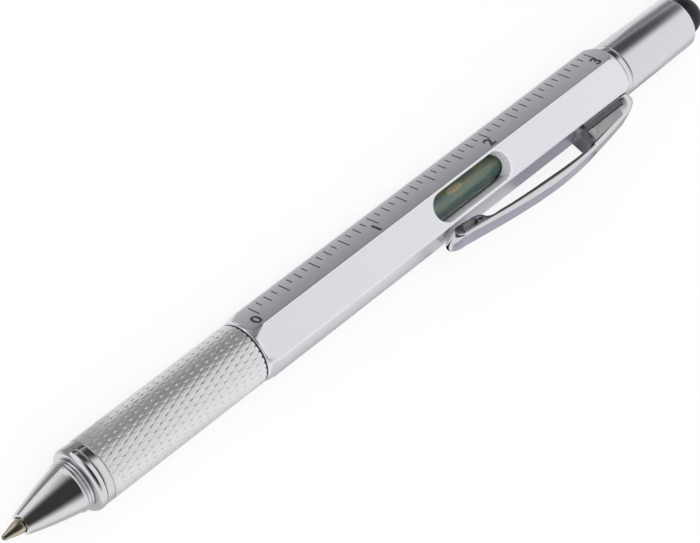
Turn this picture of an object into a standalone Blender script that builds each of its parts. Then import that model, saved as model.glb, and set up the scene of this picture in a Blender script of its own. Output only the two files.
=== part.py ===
"""A multi tool pen: hexagonal barrel with an inch rule, a spirit level and a pocket clip, a knurled
grip that twists the ball point out, and a stylus cap over a double-ended screwdriver bit.

The pen lies with its level facing up. World +X runs along the pen from the ball to the stylus, world +Z
is the face with the level in it, and the origin is the middle of the flat underneath the barrel.
Pieces are modelled upright, along the local Z of the empty pen_axis, which lays the pen down.
"""

import math

import bmesh
import bpy
from mathutils import Matrix, Vector

MM = 0.001

# Clearances
RUNNING_FIT = 0.10 * MM
SEAT_GAP = 0.05 * MM
OVERRUN = 1.0 * MM
WELD_DISTANCE = 0.00001 * MM

# Directions round the pen, seen from the stylus end, from the flat that it lies on
FLAT_STEP = math.radians(60)
WINDOW_FACE = 3 * FLAT_STEP
CLIP_FACE = 4 * FLAT_STEP

# Hexagonal barrel
BARREL_LENGTH = 82.6 * MM
BARREL_ACROSS_FLATS = 9.7 * MM
BARREL_CORNER_FILLET = 0.6 * MM
BARREL_ENVELOPE_SPARE = 0.1 * MM
BARREL_LIP_RADIUS = 5.04 * MM
BARREL_LIP_LENGTH = 0.4 * MM
BARREL_LIP_BLEND = 0.5 * MM
BARREL_FRONT_TURNED_LENGTH = 3.0 * MM
BARREL_REAR_RADIUS = 4.98 * MM
BARREL_REAR_TURNED_LENGTH = 1.8 * MM
BARREL_EDGE_BREAK = 0.12 * MM
MECHANISM_BORE_RADIUS = 4.0 * MM
HOLDER_BORE_RADIUS = 3.6 * MM

# Spirit level
WINDOW_LENGTH = 16.7 * MM
WINDOW_WIDTH = 4.9 * MM
WINDOW_CHAMFER = 0.25 * MM
LEVEL_PLACE_SHARE = 0.3656
MECHANISM_SPARE_SHARE = 0.32
VIAL_RADIUS = 2.5 * MM
VIAL_WALL = 0.4 * MM
VIAL_LENGTH = 22.4 * MM
VIAL_BOTTOM = 1.0 * MM
VIAL_EDGE_BREAK = 0.3 * MM
VIAL_PLUG_SPIGOT_LENGTH = 1.6 * MM
VIAL_PLUG_HEAD_LENGTH = 3.0 * MM
BUBBLE_RADIUS = 0.8 * MM
BUBBLE_LENGTH = 3.9 * MM
BUBBLE_OFFSET_FROM_WINDOW_CENTRE = -1.3 * MM
BUBBLE_TRAVEL_FRONT = 4.8 * MM
BUBBLE_TRAVEL_REAR = 7.2 * MM
BUBBLE_GROOVE_RISE = 0.1 * MM

# Knurled grip
JOINT_GAP = 0.34 * MM
GRIP_RADIUS = 5.04 * MM
GRIP_KNURL_LENGTH = 30.2 * MM
GRIP_BAND_LENGTH = 1.3 * MM
GRIP_BAND_GROOVE = 0.14 * MM
GRIP_BAND_GROOVE_DEPTH = 0.12 * MM
GRIP_EDGE_BREAK = 0.15 * MM
GRIP_BORE_RADIUS = 4.2 * MM
GRIP_DRIVE_SEAT_LENGTH = 8.0 * MM
WASHER_RADIUS = 4.9 * MM

# Nose cone
NOSE_GAP = 0.14 * MM
NOSE_FLANGE_RADIUS = 5.13 * MM
NOSE_FLANGE_LENGTH = 1.4 * MM
NOSE_FLANGE_FRONT_RADIUS = 4.3 * MM
NOSE_RIDGE_RADIUS = 4.05 * MM
NOSE_RIDGE_DEPTH = 0.22 * MM
NOSE_RIDGE_PITCH = 0.53 * MM
NOSE_RIDGE_COUNT = 3
NOSE_CONE_LENGTH = 8.6 * MM
NOSE_CONE_REAR_RADIUS = 3.85 * MM
NOSE_CONE_FRONT_RADIUS = 1.72 * MM
NOSE_CONE_BULGE = 0.12 * MM
NOSE_TIP_WALL_LENGTH = 2.4 * MM
NOSE_SPIGOT_LENGTH = 5.4 * MM
NOSE_BORE_RADIUS = 1.9 * MM

# Refill
REFILL_TUBE_RADIUS = 1.175 * MM
REFILL_TUBE_WALL = 0.3 * MM
REFILL_LENGTH = 67.0 * MM
BALL_RADIUS = 0.35 * MM
BALL_SEAT_GAP = 0.03 * MM
BALL_SEAT_ANGLE = math.radians(75)
NIB_PROTRUSION = 3.5 * MM
NIB_LIP_WALL = 0.08 * MM
NIB_CONE_LENGTH = 3.6 * MM
NIB_CONE_BULGE = 0.14 * MM
NIB_BODY_LENGTH = 4.2 * MM
NIB_SPIGOT_LENGTH = 3.5 * MM
INK_LENGTH = 34.0 * MM
FOLLOWER_LENGTH = 2.5 * MM

# Twist mechanism
TWIST_ANGLE = math.radians(160)
REFILL_TRAVEL = 4.8 * MM
CAM_TUBE_WALL = 0.8 * MM
CAM_TUBE_PAST_SLOT = 7.15 * MM
DRIVE_TUBE_WALL = 0.7 * MM
DRIVE_TUBE_PAST_RING = 0.85 * MM
RETAINING_RING_RADIUS = 3.8 * MM
RETAINING_RING_LENGTH = 0.5 * MM
RETAINING_GROOVE_DEPTH = 0.3 * MM
RETAINING_RING_OPENING = 1.6 * MM
CARRIER_LENGTH = 9.0 * MM
CARRIER_CUP_DEPTH = 7.0 * MM
CARRIER_PIN_RADIUS = 0.7 * MM
CARRIER_PIN_FROM_FRONT = 3.0 * MM
PIN_FIT = 0.12 * MM
PIN_ROOT = 0.4 * MM

# Bit holder and screwdriver bit
HOLDER_RING_RADIUS = 4.74 * MM
HOLDER_RING_LENGTH = 1.1 * MM
HOLDER_SPIGOT_RADIUS = 3.6 * MM
HOLDER_SPIGOT_LENGTH = 4.2 * MM
HOLDER_EDGE_BREAK = 0.15 * MM
BIT_ACROSS_FLATS = 4.0 * MM
BIT_LENGTH = 26.0 * MM
BIT_IN_SOCKET = 17.6 * MM
BIT_SHANK_FIT = 0.08 * MM
BIT_NECK_LENGTH = 6.0 * MM
BIT_NECK_RADIUS = 1.35 * MM
BIT_NECK_TAPER = 1.2 * MM
BIT_POINT_RADIUS = 0.6 * MM
BIT_POINT_LENGTH = 1.6 * MM
BLADE_THICKNESS = 0.5 * MM
BLADE_TAPER_LENGTH = 3.6 * MM
FLUTE_CORE_RADIUS = 0.28 * MM
FLUTE_LENGTH = 3.2 * MM

# Cap with stylus
CAP_GAP = 0.1 * MM
CAP_LENGTH = 16.4 * MM
CAP_FRONT_RADIUS = 4.7 * MM
CAP_REAR_RADIUS = 4.46 * MM
CAP_EDGE_BREAK = 0.25 * MM
CAP_FRONT_EDGE_BREAK = 0.1 * MM
CAP_END_WALL = 1.0 * MM
CAP_BORE_RADIUS = 3.7 * MM
STYLUS_RADIUS = 3.3 * MM
STYLUS_STANDOFF = 1.8 * MM
STYLUS_WALL = 0.7 * MM
STYLUS_FLANGE_RADIUS = 3.65 * MM
STYLUS_FLANGE_LENGTH = 0.8 * MM
RETAINER_DISC_LENGTH = 0.7 * MM
RETAINER_STEM_LENGTH = 3.0 * MM

# Pocket clip, with outlines in shares of its length from the tip and of its height over the barrel
CLIP_LENGTH = 44.2 * MM
CLIP_HEIGHT = 4.57 * MM
CLIP_WIDTH = 4.4 * MM
CLIP_END_FROM_REAR = 0.3 * MM
CLIP_TIP_ROUND = 1.2 * MM
CLIP_REAR_ROUND = 2.7 * MM
CLIP_EDGE_ROUND = 0.32 * MM
CLIP_CHANNEL_WALL = 0.6 * MM
CLIP_SKIN = 0.75 * MM
CLIP_END_WALL = 2.8 * MM
CLIP_PIVOT_FROM_END = 0.8 * MM
CLIP_PIVOT_HEIGHT = 0.6 * MM
CLIP_OUTER_SHARES = (
    (0.000, 0.330),
    (0.017, 0.450),
    (0.093, 0.570),
    (0.180, 0.690),
    (0.360, 0.906),
    (0.518, 1.000),
    (0.654, 0.950),
    (0.790, 0.810),
    (0.887, 0.674),
    (0.934, 0.595),
    (0.975, 0.445),
    (0.995, 0.300),
)
CLIP_FOOT_SHARES = (
    (1.000, 0.180),
    (1.000, 0.033),
    (0.937, 0.033),
    (0.937, 0.278),
    (0.734, 0.278),
)
CLIP_INNER_SHARES = (
    (0.733, 0.635),
    (0.713, 0.744),
    (0.650, 0.766),
    (0.559, 0.755),
    (0.457, 0.711),
    (0.349, 0.652),
    (0.229, 0.547),
)
CLIP_NUB_SHARES = (
    (0.170, 0.449),
    (0.154, 0.274),
    (0.138, 0.188),
    (0.099, 0.136),
    (0.065, 0.098),
    (0.025, 0.083),
    (0.003, 0.190),
)
POST_FIT = 0.12 * MM
POST_FRONT_SHARE = 0.703
POST_CEILING_GAP = 0.15 * MM
POST_REAR_GAP = 0.35 * MM
POST_BASE_WIDTH = 4.3 * MM
TANG_LENGTH = 6.0 * MM
TANG_WIDTH = 2.2 * MM
TANG_FIT = 0.1 * MM

# Fineness of round pieces
LARGE_STEPS = 48
SMALL_STEPS = 32
TINY_STEPS = 20
ARC_STEPS = 4
DOME_STEPS = 6
FILLET_SEGMENTS = 3
SLOT_STEPS = 32
CURVE_STEPS = 3
PLAN_STEPS = 12
SHARP_ANGLE = math.radians(32)

# Colours from the photograph
SATIN_SILVER = ((0.60, 0.60, 0.62), 0.32, 0.9)
KNURLED_SILVER = ((0.62, 0.63, 0.65), 0.38, 0.9)
CHROME = ((0.78, 0.78, 0.80), 0.08, 1.0)
BRASS = ((0.62, 0.52, 0.33), 0.25, 1.0)
STEEL = ((0.50, 0.50, 0.52), 0.28, 1.0)
CLEAR_PLASTIC = ((0.85, 0.92, 0.88), 0.05, 0.0)
GREEN_LIQUID = ((0.10, 0.34, 0.22), 0.05, 0.0)
BUBBLE_AIR = ((0.75, 0.80, 0.70), 0.05, 0.0)
BLUE_INK = ((0.02, 0.03, 0.16), 0.30, 0.0)
GREASE = ((0.70, 0.66, 0.50), 0.40, 0.0)
WHITE_PLASTIC = ((0.72, 0.72, 0.70), 0.45, 0.0)
BLACK_RUBBER = ((0.02, 0.02, 0.03), 0.60, 0.0)
BROWN_PLASTIC = ((0.05, 0.035, 0.03), 0.50, 0.0)

# Places along the pen, from the middle of the barrel, worked out from the sizes above
BARREL_FRONT = -BARREL_LENGTH / 2
BARREL_REAR = BARREL_LENGTH / 2
BARREL_FLAT_RADIUS = BARREL_ACROSS_FLATS / 2
BARREL_CORNER_RADIUS = (
    BARREL_FLAT_RADIUS - BARREL_CORNER_FILLET
) / math.cos(FLAT_STEP / 2) + BARREL_CORNER_FILLET

GRIP_REAR = BARREL_FRONT - JOINT_GAP
KNURL_FRONT = GRIP_REAR - GRIP_KNURL_LENGTH
GRIP_FRONT = KNURL_FRONT - GRIP_BAND_LENGTH
NOSE_REAR = GRIP_FRONT - NOSE_GAP
RIDGE_REAR = NOSE_REAR - NOSE_FLANGE_LENGTH
RIDGE_FRONT = RIDGE_REAR - NOSE_RIDGE_COUNT * NOSE_RIDGE_PITCH
NOSE_FRONT = RIDGE_FRONT - NOSE_CONE_LENGTH
NOSE_SPIGOT_RADIUS = GRIP_BORE_RADIUS - RUNNING_FIT

BALL_APEX = NOSE_FRONT - NIB_PROTRUSION
BALL_CENTRE = BALL_APEX + BALL_RADIUS
REFILL_REAR = BALL_APEX + REFILL_LENGTH
NIB_BODY_FRONT = BALL_CENTRE + NIB_CONE_LENGTH
REFILL_TUBE_FRONT = NIB_BODY_FRONT + NIB_BODY_LENGTH
REFILL_INNER_RADIUS = REFILL_TUBE_RADIUS - REFILL_TUBE_WALL
NIB_BODY_RADIUS = REFILL_TUBE_RADIUS - SEAT_GAP
INK_RADIUS = REFILL_INNER_RADIUS - SEAT_GAP
INK_FRONT = REFILL_TUBE_FRONT + NIB_SPIGOT_LENGTH + SEAT_GAP
INK_REAR = INK_FRONT + INK_LENGTH

CAM_TUBE_RADIUS = MECHANISM_BORE_RADIUS - RUNNING_FIT
CAM_TUBE_INNER_RADIUS = CAM_TUBE_RADIUS - CAM_TUBE_WALL
DRIVE_TUBE_RADIUS = CAM_TUBE_INNER_RADIUS - RUNNING_FIT
DRIVE_TUBE_INNER_RADIUS = DRIVE_TUBE_RADIUS - DRIVE_TUBE_WALL
CARRIER_RADIUS = DRIVE_TUBE_INNER_RADIUS - RUNNING_FIT
CARRIER_FRONT = REFILL_REAR - CARRIER_CUP_DEPTH + SEAT_GAP
CARRIER_REAR = CARRIER_FRONT + CARRIER_LENGTH
PIN_CENTRE = CARRIER_FRONT + CARRIER_PIN_FROM_FRONT
PIN_TIP_RADIUS = CAM_TUBE_RADIUS - RUNNING_FIT
PIN_SLOT_HALF_WIDTH = CARRIER_PIN_RADIUS + PIN_FIT
CAM_TUBE_FRONT = BARREL_FRONT + SEAT_GAP
CAM_TUBE_REAR = PIN_CENTRE + REFILL_TRAVEL + CAM_TUBE_PAST_SLOT
RETAINING_RING_FRONT = CAM_TUBE_REAR + SEAT_GAP
RETAINING_RING_REAR = RETAINING_RING_FRONT + RETAINING_RING_LENGTH
RETAINING_GROOVE_FRONT = RETAINING_RING_FRONT - SEAT_GAP
RETAINING_GROOVE_REAR = RETAINING_RING_REAR + SEAT_GAP
RETAINING_GROOVE_RADIUS = DRIVE_TUBE_RADIUS - RETAINING_GROOVE_DEPTH
DRIVE_TUBE_FRONT = GRIP_REAR - GRIP_DRIVE_SEAT_LENGTH
DRIVE_TUBE_REAR = RETAINING_GROOVE_REAR + DRIVE_TUBE_PAST_RING
MECHANISM_REAR = max(CARRIER_REAR + REFILL_TRAVEL, DRIVE_TUBE_REAR)

HOLDER_BODY_RADIUS = HOLDER_BORE_RADIUS - RUNNING_FIT
HOLDER_RING_FRONT = BARREL_REAR + SEAT_GAP
HOLDER_RING_REAR = HOLDER_RING_FRONT + HOLDER_RING_LENGTH
HOLDER_REAR = HOLDER_RING_REAR + HOLDER_SPIGOT_LENGTH
BIT_FRONT = HOLDER_REAR - BIT_IN_SOCKET
BIT_REAR = BIT_FRONT + BIT_LENGTH
BIT_CORNER_RADIUS = BIT_ACROSS_FLATS / 2 / math.cos(FLAT_STEP / 2)

LEVEL_STACK_LENGTH = VIAL_LENGTH + VIAL_PLUG_HEAD_LENGTH + 3 * SEAT_GAP
FREE_LENGTH = BIT_FRONT - SEAT_GAP - MECHANISM_REAR - LEVEL_STACK_LENGTH
VIAL_SEAT = MECHANISM_REAR + LEVEL_PLACE_SHARE * FREE_LENGTH
MECHANISM_BORE_END = MECHANISM_REAR + MECHANISM_SPARE_SHARE * (VIAL_SEAT - MECHANISM_REAR)
VIAL_FRONT = VIAL_SEAT + SEAT_GAP
VIAL_REAR = VIAL_FRONT + VIAL_LENGTH
VIAL_INNER_RADIUS = VIAL_RADIUS - VIAL_WALL
VIAL_BORE_RADIUS = VIAL_RADIUS + RUNNING_FIT
WINDOW_CENTRE = (VIAL_FRONT + VIAL_REAR) / 2
HOLDER_BORE_END = VIAL_REAR + SEAT_GAP + VIAL_PLUG_HEAD_LENGTH
HOLDER_FRONT = HOLDER_BORE_END + SEAT_GAP
LIQUID_FRONT = VIAL_FRONT + VIAL_BOTTOM + SEAT_GAP
LIQUID_REAR = VIAL_REAR - VIAL_PLUG_SPIGOT_LENGTH - SEAT_GAP
LIQUID_RADIUS = VIAL_INNER_RADIUS - SEAT_GAP
BUBBLE_CENTRE = WINDOW_CENTRE + BUBBLE_OFFSET_FROM_WINDOW_CENTRE
BUBBLE_HEIGHT = VIAL_INNER_RADIUS - RUNNING_FIT - BUBBLE_RADIUS

CAP_FRONT = HOLDER_RING_REAR + CAP_GAP
CAP_REAR = CAP_FRONT + CAP_LENGTH
STYLUS_BASE = CAP_REAR - CAP_END_WALL - SEAT_GAP
STYLUS_CENTRE = CAP_REAR + STYLUS_STANDOFF

CLIP_REAR = BARREL_REAR - CLIP_END_FROM_REAR
CLIP_TIP = CLIP_REAR - CLIP_LENGTH
CLIP_PIVOT = CLIP_REAR - CLIP_PIVOT_FROM_END
POST_FRONT = CLIP_TIP + POST_FRONT_SHARE * CLIP_LENGTH
POST_REAR = CLIP_REAR - CLIP_END_WALL - POST_REAR_GAP
POST_HALF_WIDTH = CLIP_WIDTH / 2 - CLIP_CHANNEL_WALL - POST_FIT
FOOT_FRONT = CLIP_TIP + CLIP_FOOT_SHARES[-1][0] * CLIP_LENGTH
POST_BASE_HEIGHT = CLIP_FOOT_SHARES[-1][1] * CLIP_HEIGHT - POST_FIT


def clear_scene():
    for obj in list(bpy.data.objects):
        bpy.data.objects.remove(obj, do_unlink=True)


def new_collection(name):
    collection = bpy.data.collections.new(name)
    bpy.context.scene.collection.children.link(collection)
    return collection


def new_material(name, finish):
    colour, roughness, metallic = finish
    material = bpy.data.materials.new(name)
    material.use_nodes = True
    shader = material.node_tree.nodes["Principled BSDF"]
    shader.inputs["Base Color"].default_value = (*colour, 1.0)
    shader.inputs["Roughness"].default_value = roughness
    shader.inputs["Metallic"].default_value = metallic
    material.diffuse_color = (*colour, 1.0)
    return material


def new_empty(name, parent=None, matrix=None):
    empty = bpy.data.objects.new(name, None)
    PARTS.objects.link(empty)
    empty.parent = parent
    empty.matrix_local = matrix or Matrix.Identity(4)
    return empty


def along(z):
    return Matrix.Translation((0, 0, z))


def add_object(name, mesh, parent, finish=None):
    """An object under an empty: a part where a finish is given, and otherwise a cutter."""
    obj = bpy.data.objects.new(name, mesh)
    if finish:
        PARTS.objects.link(obj)
        mesh.materials.append(new_material(name, finish))
    else:
        CUTTERS.objects.link(obj)
        obj.hide_render = True
        obj.display_type = "WIRE"
    obj.parent = parent
    return obj


def turned(name, outline, parent, finish=None, steps=LARGE_STEPS):
    """A turned solid. The outline is (place along the axis, radius) up the outside, then down the bore."""
    mesh = bpy.data.meshes.new(name)
    points = [(radius, 0, z) for z, radius in reversed(outline)]
    edges = [(i, i + 1) for i in range(len(points) - 1)]
    if outline[0][1] > 0:
        edges.append((len(points) - 1, 0))
    mesh.from_pydata(points, edges, [])
    obj = add_object(name, mesh, parent, finish)
    screw = obj.modifiers.new("turn", "SCREW")
    screw.axis = "Z"
    screw.steps = steps
    screw.render_steps = steps
    screw.use_merge_vertices = True
    screw.merge_threshold = WELD_DISTANCE
    return obj


def arc(centre_z, centre_radius, radius, start, end, steps=ARC_STEPS):
    """Points of an arc in a turned outline, with angles from the axis direction towards the outside."""
    angles = [start + (end - start) * i / steps for i in range(steps + 1)]
    return [(centre_z + radius * math.cos(a), centre_radius + radius * math.sin(a)) for a in angles]


def boolean(target, other, operation):
    modifier = target.modifiers.new(f"{operation.lower()}_{other.name}", "BOOLEAN")
    modifier.operation = operation
    modifier.object = other
    modifier.solver = "EXACT"


def mesh_object(name, fill, parent, finish=None):
    """An object whose mesh the given function makes in a bmesh."""
    mesh = bpy.data.meshes.new(name)
    work = bmesh.new()
    fill(work)
    bmesh.ops.recalc_face_normals(work, faces=work.faces)
    work.to_mesh(mesh)
    work.free()
    return add_object(name, mesh, parent, finish)


def box(name, low, high, parent, finish=None):
    def fill(work):
        size = [high[i] - low[i] for i in range(3)]
        centre = [(high[i] + low[i]) / 2 for i in range(3)]
        matrix = Matrix.Translation(centre) @ Matrix.Diagonal((*size, 1))
        bmesh.ops.create_cube(work, size=1, matrix=matrix)

    return mesh_object(name, fill, parent, finish)


def hexagon(name, across_flats, start, end, parent, finish=None):
    """A hexagonal prism along Z with one flat towards +X."""

    def fill(work):
        radius = across_flats / 2 / math.cos(FLAT_STEP / 2)
        bmesh.ops.create_cone(
            work,
            cap_ends=True,
            segments=6,
            radius1=radius,
            radius2=radius,
            depth=end - start,
            matrix=along((start + end) / 2),
        )

    return mesh_object(name, fill, parent, finish)


def plate(name, splines, thickness, parent, finish=None):
    """A flat outline in the local XY plane, made solid. Each spline is (points, whether it is curved)."""
    curve = bpy.data.curves.new(name, "CURVE")
    curve.dimensions = "2D"
    curve.fill_mode = "BOTH"
    curve.extrude = thickness / 2
    curve.resolution_u = CURVE_STEPS
    spline = curve.splines.new("BEZIER")
    points = [(point, curved) for run, curved in splines for point in run]
    spline.bezier_points.add(len(points) - 1)
    for knot, (point, curved) in zip(spline.bezier_points, points):
        knot.co = (*point, 0)
        knot.handle_left_type = knot.handle_right_type = "AUTO" if curved else "VECTOR"
    spline.use_cyclic_u = True
    guide = bpy.data.objects.new(name, curve)
    CUTTERS.objects.link(guide)
    bpy.context.view_layer.update()
    evaluated = guide.evaluated_get(bpy.context.evaluated_depsgraph_get())
    mesh = bpy.data.meshes.new_from_object(evaluated)
    bpy.data.objects.remove(guide)
    work = bmesh.new()
    work.from_mesh(mesh)
    bmesh.ops.remove_doubles(work, verts=work.verts, dist=WELD_DISTANCE)
    bmesh.ops.recalc_face_normals(work, faces=work.faces)
    work.to_mesh(mesh)
    work.free()
    mesh.name = name
    return add_object(name, mesh, parent, finish)


def obround_stack(name, half_straight, levels, parent):
    """A slot cutter along Z: obround rings, each at a (height along X, half width), capped at both ends."""

    def fill(work):
        rings = []
        for height, half_width in levels:
            ring = []
            for side in (1, -1):
                for i in range(SMALL_STEPS // 2 + 1):
                    angle = math.pi * i / (SMALL_STEPS // 2)
                    y = half_width * math.cos(angle) * side
                    z = (half_straight + half_width * math.sin(angle)) * side
                    ring.append(work.verts.new((height, y, z)))
            rings.append(ring)
        for lower, upper in zip(rings, rings[1:]):
            for i in range(len(lower)):
                j = (i + 1) % len(lower)
                work.faces.new((lower[i], lower[j], upper[j], upper[i]))
        work.faces.new(rings[0])
        work.faces.new(rings[-1])

    return mesh_object(name, fill, parent)


def settle(obj):
    """Applies the modifiers, then shades round faces smooth and keeps real edges sharp."""
    evaluated = obj.evaluated_get(bpy.context.evaluated_depsgraph_get())
    mesh = bpy.data.meshes.new_from_object(evaluated)
    obj.modifiers.clear()
    obj.data = mesh
    mesh.shade_smooth()
    mesh.set_sharp_from_angle(angle=SHARP_ANGLE)


# Barrel


def make_barrel(parent):
    barrel = hexagon(
        "barrel",
        BARREL_ACROSS_FLATS,
        BARREL_FRONT - OVERRUN,
        BARREL_REAR + OVERRUN,
        parent,
        SATIN_SILVER,
    )
    fillet = barrel.modifiers.new("corner_fillet", "BEVEL")
    fillet.width = BARREL_CORNER_FILLET * math.tan(FLAT_STEP / 2)
    fillet.segments = FILLET_SEGMENTS
    fillet.limit_method = "ANGLE"
    boolean(barrel, make_barrel_lip(parent), "UNION")
    boolean(barrel, make_barrel_envelope(parent), "INTERSECT")
    boolean(barrel, make_mechanism_bore(parent), "DIFFERENCE")
    boolean(barrel, make_rear_bores(parent), "DIFFERENCE")
    boolean(barrel, make_window_cutter(parent), "DIFFERENCE")
    boolean(barrel, make_tang_slot(), "DIFFERENCE")


def make_barrel_envelope(parent):
    """The turning that rounds the hexagon's corners off at both ends."""
    widest = BARREL_CORNER_RADIUS + BARREL_ENVELOPE_SPARE
    outline = [
        (BARREL_FRONT, 0),
        (BARREL_FRONT, BARREL_LIP_RADIUS - BARREL_EDGE_BREAK),
        (BARREL_FRONT + BARREL_EDGE_BREAK, BARREL_LIP_RADIUS),
        (BARREL_FRONT + BARREL_FRONT_TURNED_LENGTH, widest),
        (BARREL_REAR - BARREL_REAR_TURNED_LENGTH, widest),
        (BARREL_REAR - BARREL_EDGE_BREAK, BARREL_REAR_RADIUS),
        (BARREL_REAR, BARREL_REAR_RADIUS - BARREL_EDGE_BREAK),
        (BARREL_REAR, 0),
    ]
    return turned("barrel_envelope", outline, parent)


def make_barrel_lip(parent):
    """The narrow round lip in front of the flats, left thick for the turning."""
    inside = (MECHANISM_BORE_RADIUS + BARREL_FLAT_RADIUS) / 2
    lip_front = BARREL_FRONT - OVERRUN / 2
    lip_rear = BARREL_FRONT + BARREL_LIP_LENGTH
    blank_radius = BARREL_LIP_RADIUS + BARREL_ENVELOPE_SPARE
    outline = [
        (lip_front, inside),
        (lip_front, blank_radius),
        (lip_rear, blank_radius),
        (lip_rear + BARREL_LIP_BLEND, BARREL_FLAT_RADIUS - BARREL_EDGE_BREAK),
        (lip_rear + BARREL_LIP_BLEND, inside),
    ]
    return turned("barrel_lip", outline, parent)


def make_mechanism_bore(parent):
    outline = [
        (BARREL_FRONT - OVERRUN, 0),
        (BARREL_FRONT - OVERRUN, MECHANISM_BORE_RADIUS),
        (MECHANISM_BORE_END, MECHANISM_BORE_RADIUS),
        (MECHANISM_BORE_END, 0),
    ]
    return turned("mechanism_bore", outline, parent)


def make_rear_bores(parent):
    """The bore for the bit holder, and past it the smaller one for the vial."""
    outline = [
        (VIAL_SEAT, 0),
        (VIAL_SEAT, VIAL_BORE_RADIUS),
        (HOLDER_BORE_END, VIAL_BORE_RADIUS),
        (HOLDER_BORE_END, HOLDER_BORE_RADIUS),
        (BARREL_REAR + OVERRUN, HOLDER_BORE_RADIUS),
        (BARREL_REAR + OVERRUN, 0),
    ]
    return turned("rear_bores", outline, parent)


def make_window_cutter(parent):
    """The level's obround window, with its rim chamfered, out through the level's face."""
    half_width = WINDOW_WIDTH / 2
    wide = half_width + WINDOW_CHAMFER
    levels = [
        (0, half_width),
        (BARREL_FLAT_RADIUS - WINDOW_CHAMFER, half_width),
        (BARREL_FLAT_RADIUS, wide),
        (BARREL_FLAT_RADIUS + OVERRUN, wide),
    ]
    window = new_empty(
        "window_direction", parent, along(WINDOW_CENTRE) @ Matrix.Rotation(WINDOW_FACE, 4, "Z")
    )
    return obround_stack("window_cutter", WINDOW_LENGTH / 2 - half_width, levels, window)


def tang_centre():
    return (POST_FRONT + POST_REAR) / 2 - CLIP_PIVOT


def make_tang_slot():
    """The slot in the clip's flat that the clip post's tang is staked in."""
    half_length = TANG_LENGTH / 2 + TANG_FIT
    half_width = TANG_WIDTH / 2 + TANG_FIT
    low = (tang_centre() - half_length, HOLDER_BORE_RADIUS / 2 - BARREL_FLAT_RADIUS, -half_width)
    high = (tang_centre() + half_length, OVERRUN, half_width)
    return box("tang_slot", low, high, CLIP_BASE)


# Spirit level


def make_level(parent):
    rim = VIAL_RADIUS - VIAL_EDGE_BREAK
    outline = [
        (VIAL_FRONT, 0),
        (VIAL_FRONT, rim),
        (VIAL_FRONT + VIAL_EDGE_BREAK, VIAL_RADIUS),
        (VIAL_REAR, VIAL_RADIUS),
        (VIAL_REAR, VIAL_INNER_RADIUS),
        (VIAL_FRONT + VIAL_BOTTOM, VIAL_INNER_RADIUS),
        (VIAL_FRONT + VIAL_BOTTOM, 0),
    ]
    turned("level_vial", outline, parent, CLEAR_PLASTIC, SMALL_STEPS)

    spigot_front = VIAL_REAR - VIAL_PLUG_SPIGOT_LENGTH
    head_front = VIAL_REAR + SEAT_GAP
    head_rear = HOLDER_BORE_END
    outline = [
        (spigot_front, 0),
        (spigot_front, LIQUID_RADIUS),
        (head_front, LIQUID_RADIUS),
        (head_front, VIAL_RADIUS),
        (head_rear - VIAL_EDGE_BREAK, VIAL_RADIUS),
        (head_rear, rim),
        (head_rear, 0),
    ]
    turned("vial_plug", outline, parent, WHITE_PLASTIC, SMALL_STEPS)

    outline = [
        (LIQUID_FRONT, 0),
        (LIQUID_FRONT, LIQUID_RADIUS),
        (LIQUID_REAR, LIQUID_RADIUS),
        (LIQUID_REAR, 0),
    ]
    liquid = turned("level_liquid", outline, parent, GREEN_LIQUID, SMALL_STEPS)

    window_up = Matrix.Rotation(WINDOW_FACE, 4, "Z")
    rise = BUBBLE_HEIGHT + BUBBLE_GROOVE_RISE
    groove_middle = BUBBLE_CENTRE + (BUBBLE_TRAVEL_REAR - BUBBLE_TRAVEL_FRONT) / 2
    groove_length = BUBBLE_LENGTH + BUBBLE_TRAVEL_FRONT + BUBBLE_TRAVEL_REAR + 2 * RUNNING_FIT
    groove_seat = new_empty(
        "groove_seat", parent, window_up @ Matrix.Translation((rise, 0, groove_middle))
    )
    groove = capsule("bubble_groove", groove_length, BUBBLE_RADIUS + BUBBLE_GROOVE_RISE + SEAT_GAP, groove_seat)
    boolean(liquid, groove, "DIFFERENCE")

    bubble_seat = new_empty(
        "bubble_travel", parent, window_up @ Matrix.Translation((BUBBLE_HEIGHT, 0, BUBBLE_CENTRE))
    )
    capsule("level_bubble", BUBBLE_LENGTH, BUBBLE_RADIUS, bubble_seat, BUBBLE_AIR)


def capsule(name, length, radius, parent, finish=None):
    """A round-ended rod along Z, centred on its origin."""
    reach = length / 2 - radius
    front = arc(-reach, 0, radius, math.pi, math.pi / 2)
    rear = arc(reach, 0, radius, math.pi / 2, 0)
    outline = [(front[0][0], 0), *front[1:], *rear[:-1], (rear[-1][0], 0)]
    return turned(name, outline, parent, finish, TINY_STEPS)


# Grip and nose


def make_grip(parent):
    groove_rear = KNURL_FRONT + GRIP_BAND_GROOVE
    groove_radius = GRIP_RADIUS - GRIP_BAND_GROOVE_DEPTH
    seat_front = DRIVE_TUBE_FRONT - SEAT_GAP
    seat_radius = DRIVE_TUBE_RADIUS + SEAT_GAP
    outline = [
        (GRIP_FRONT, GRIP_BORE_RADIUS),
        (GRIP_FRONT, GRIP_RADIUS - GRIP_EDGE_BREAK),
        (GRIP_FRONT + GRIP_EDGE_BREAK, GRIP_RADIUS),
        (KNURL_FRONT, GRIP_RADIUS),
        (KNURL_FRONT, groove_radius),
        (groove_rear, groove_radius),
        (groove_rear, GRIP_RADIUS),
        (GRIP_REAR - GRIP_EDGE_BREAK, GRIP_RADIUS),
        (GRIP_REAR, GRIP_RADIUS - GRIP_EDGE_BREAK),
        (GRIP_REAR, seat_radius),
        (seat_front, seat_radius),
        (seat_front, GRIP_BORE_RADIUS),
    ]
    turned("grip_sleeve", outline, parent, KNURLED_SILVER)


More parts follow.
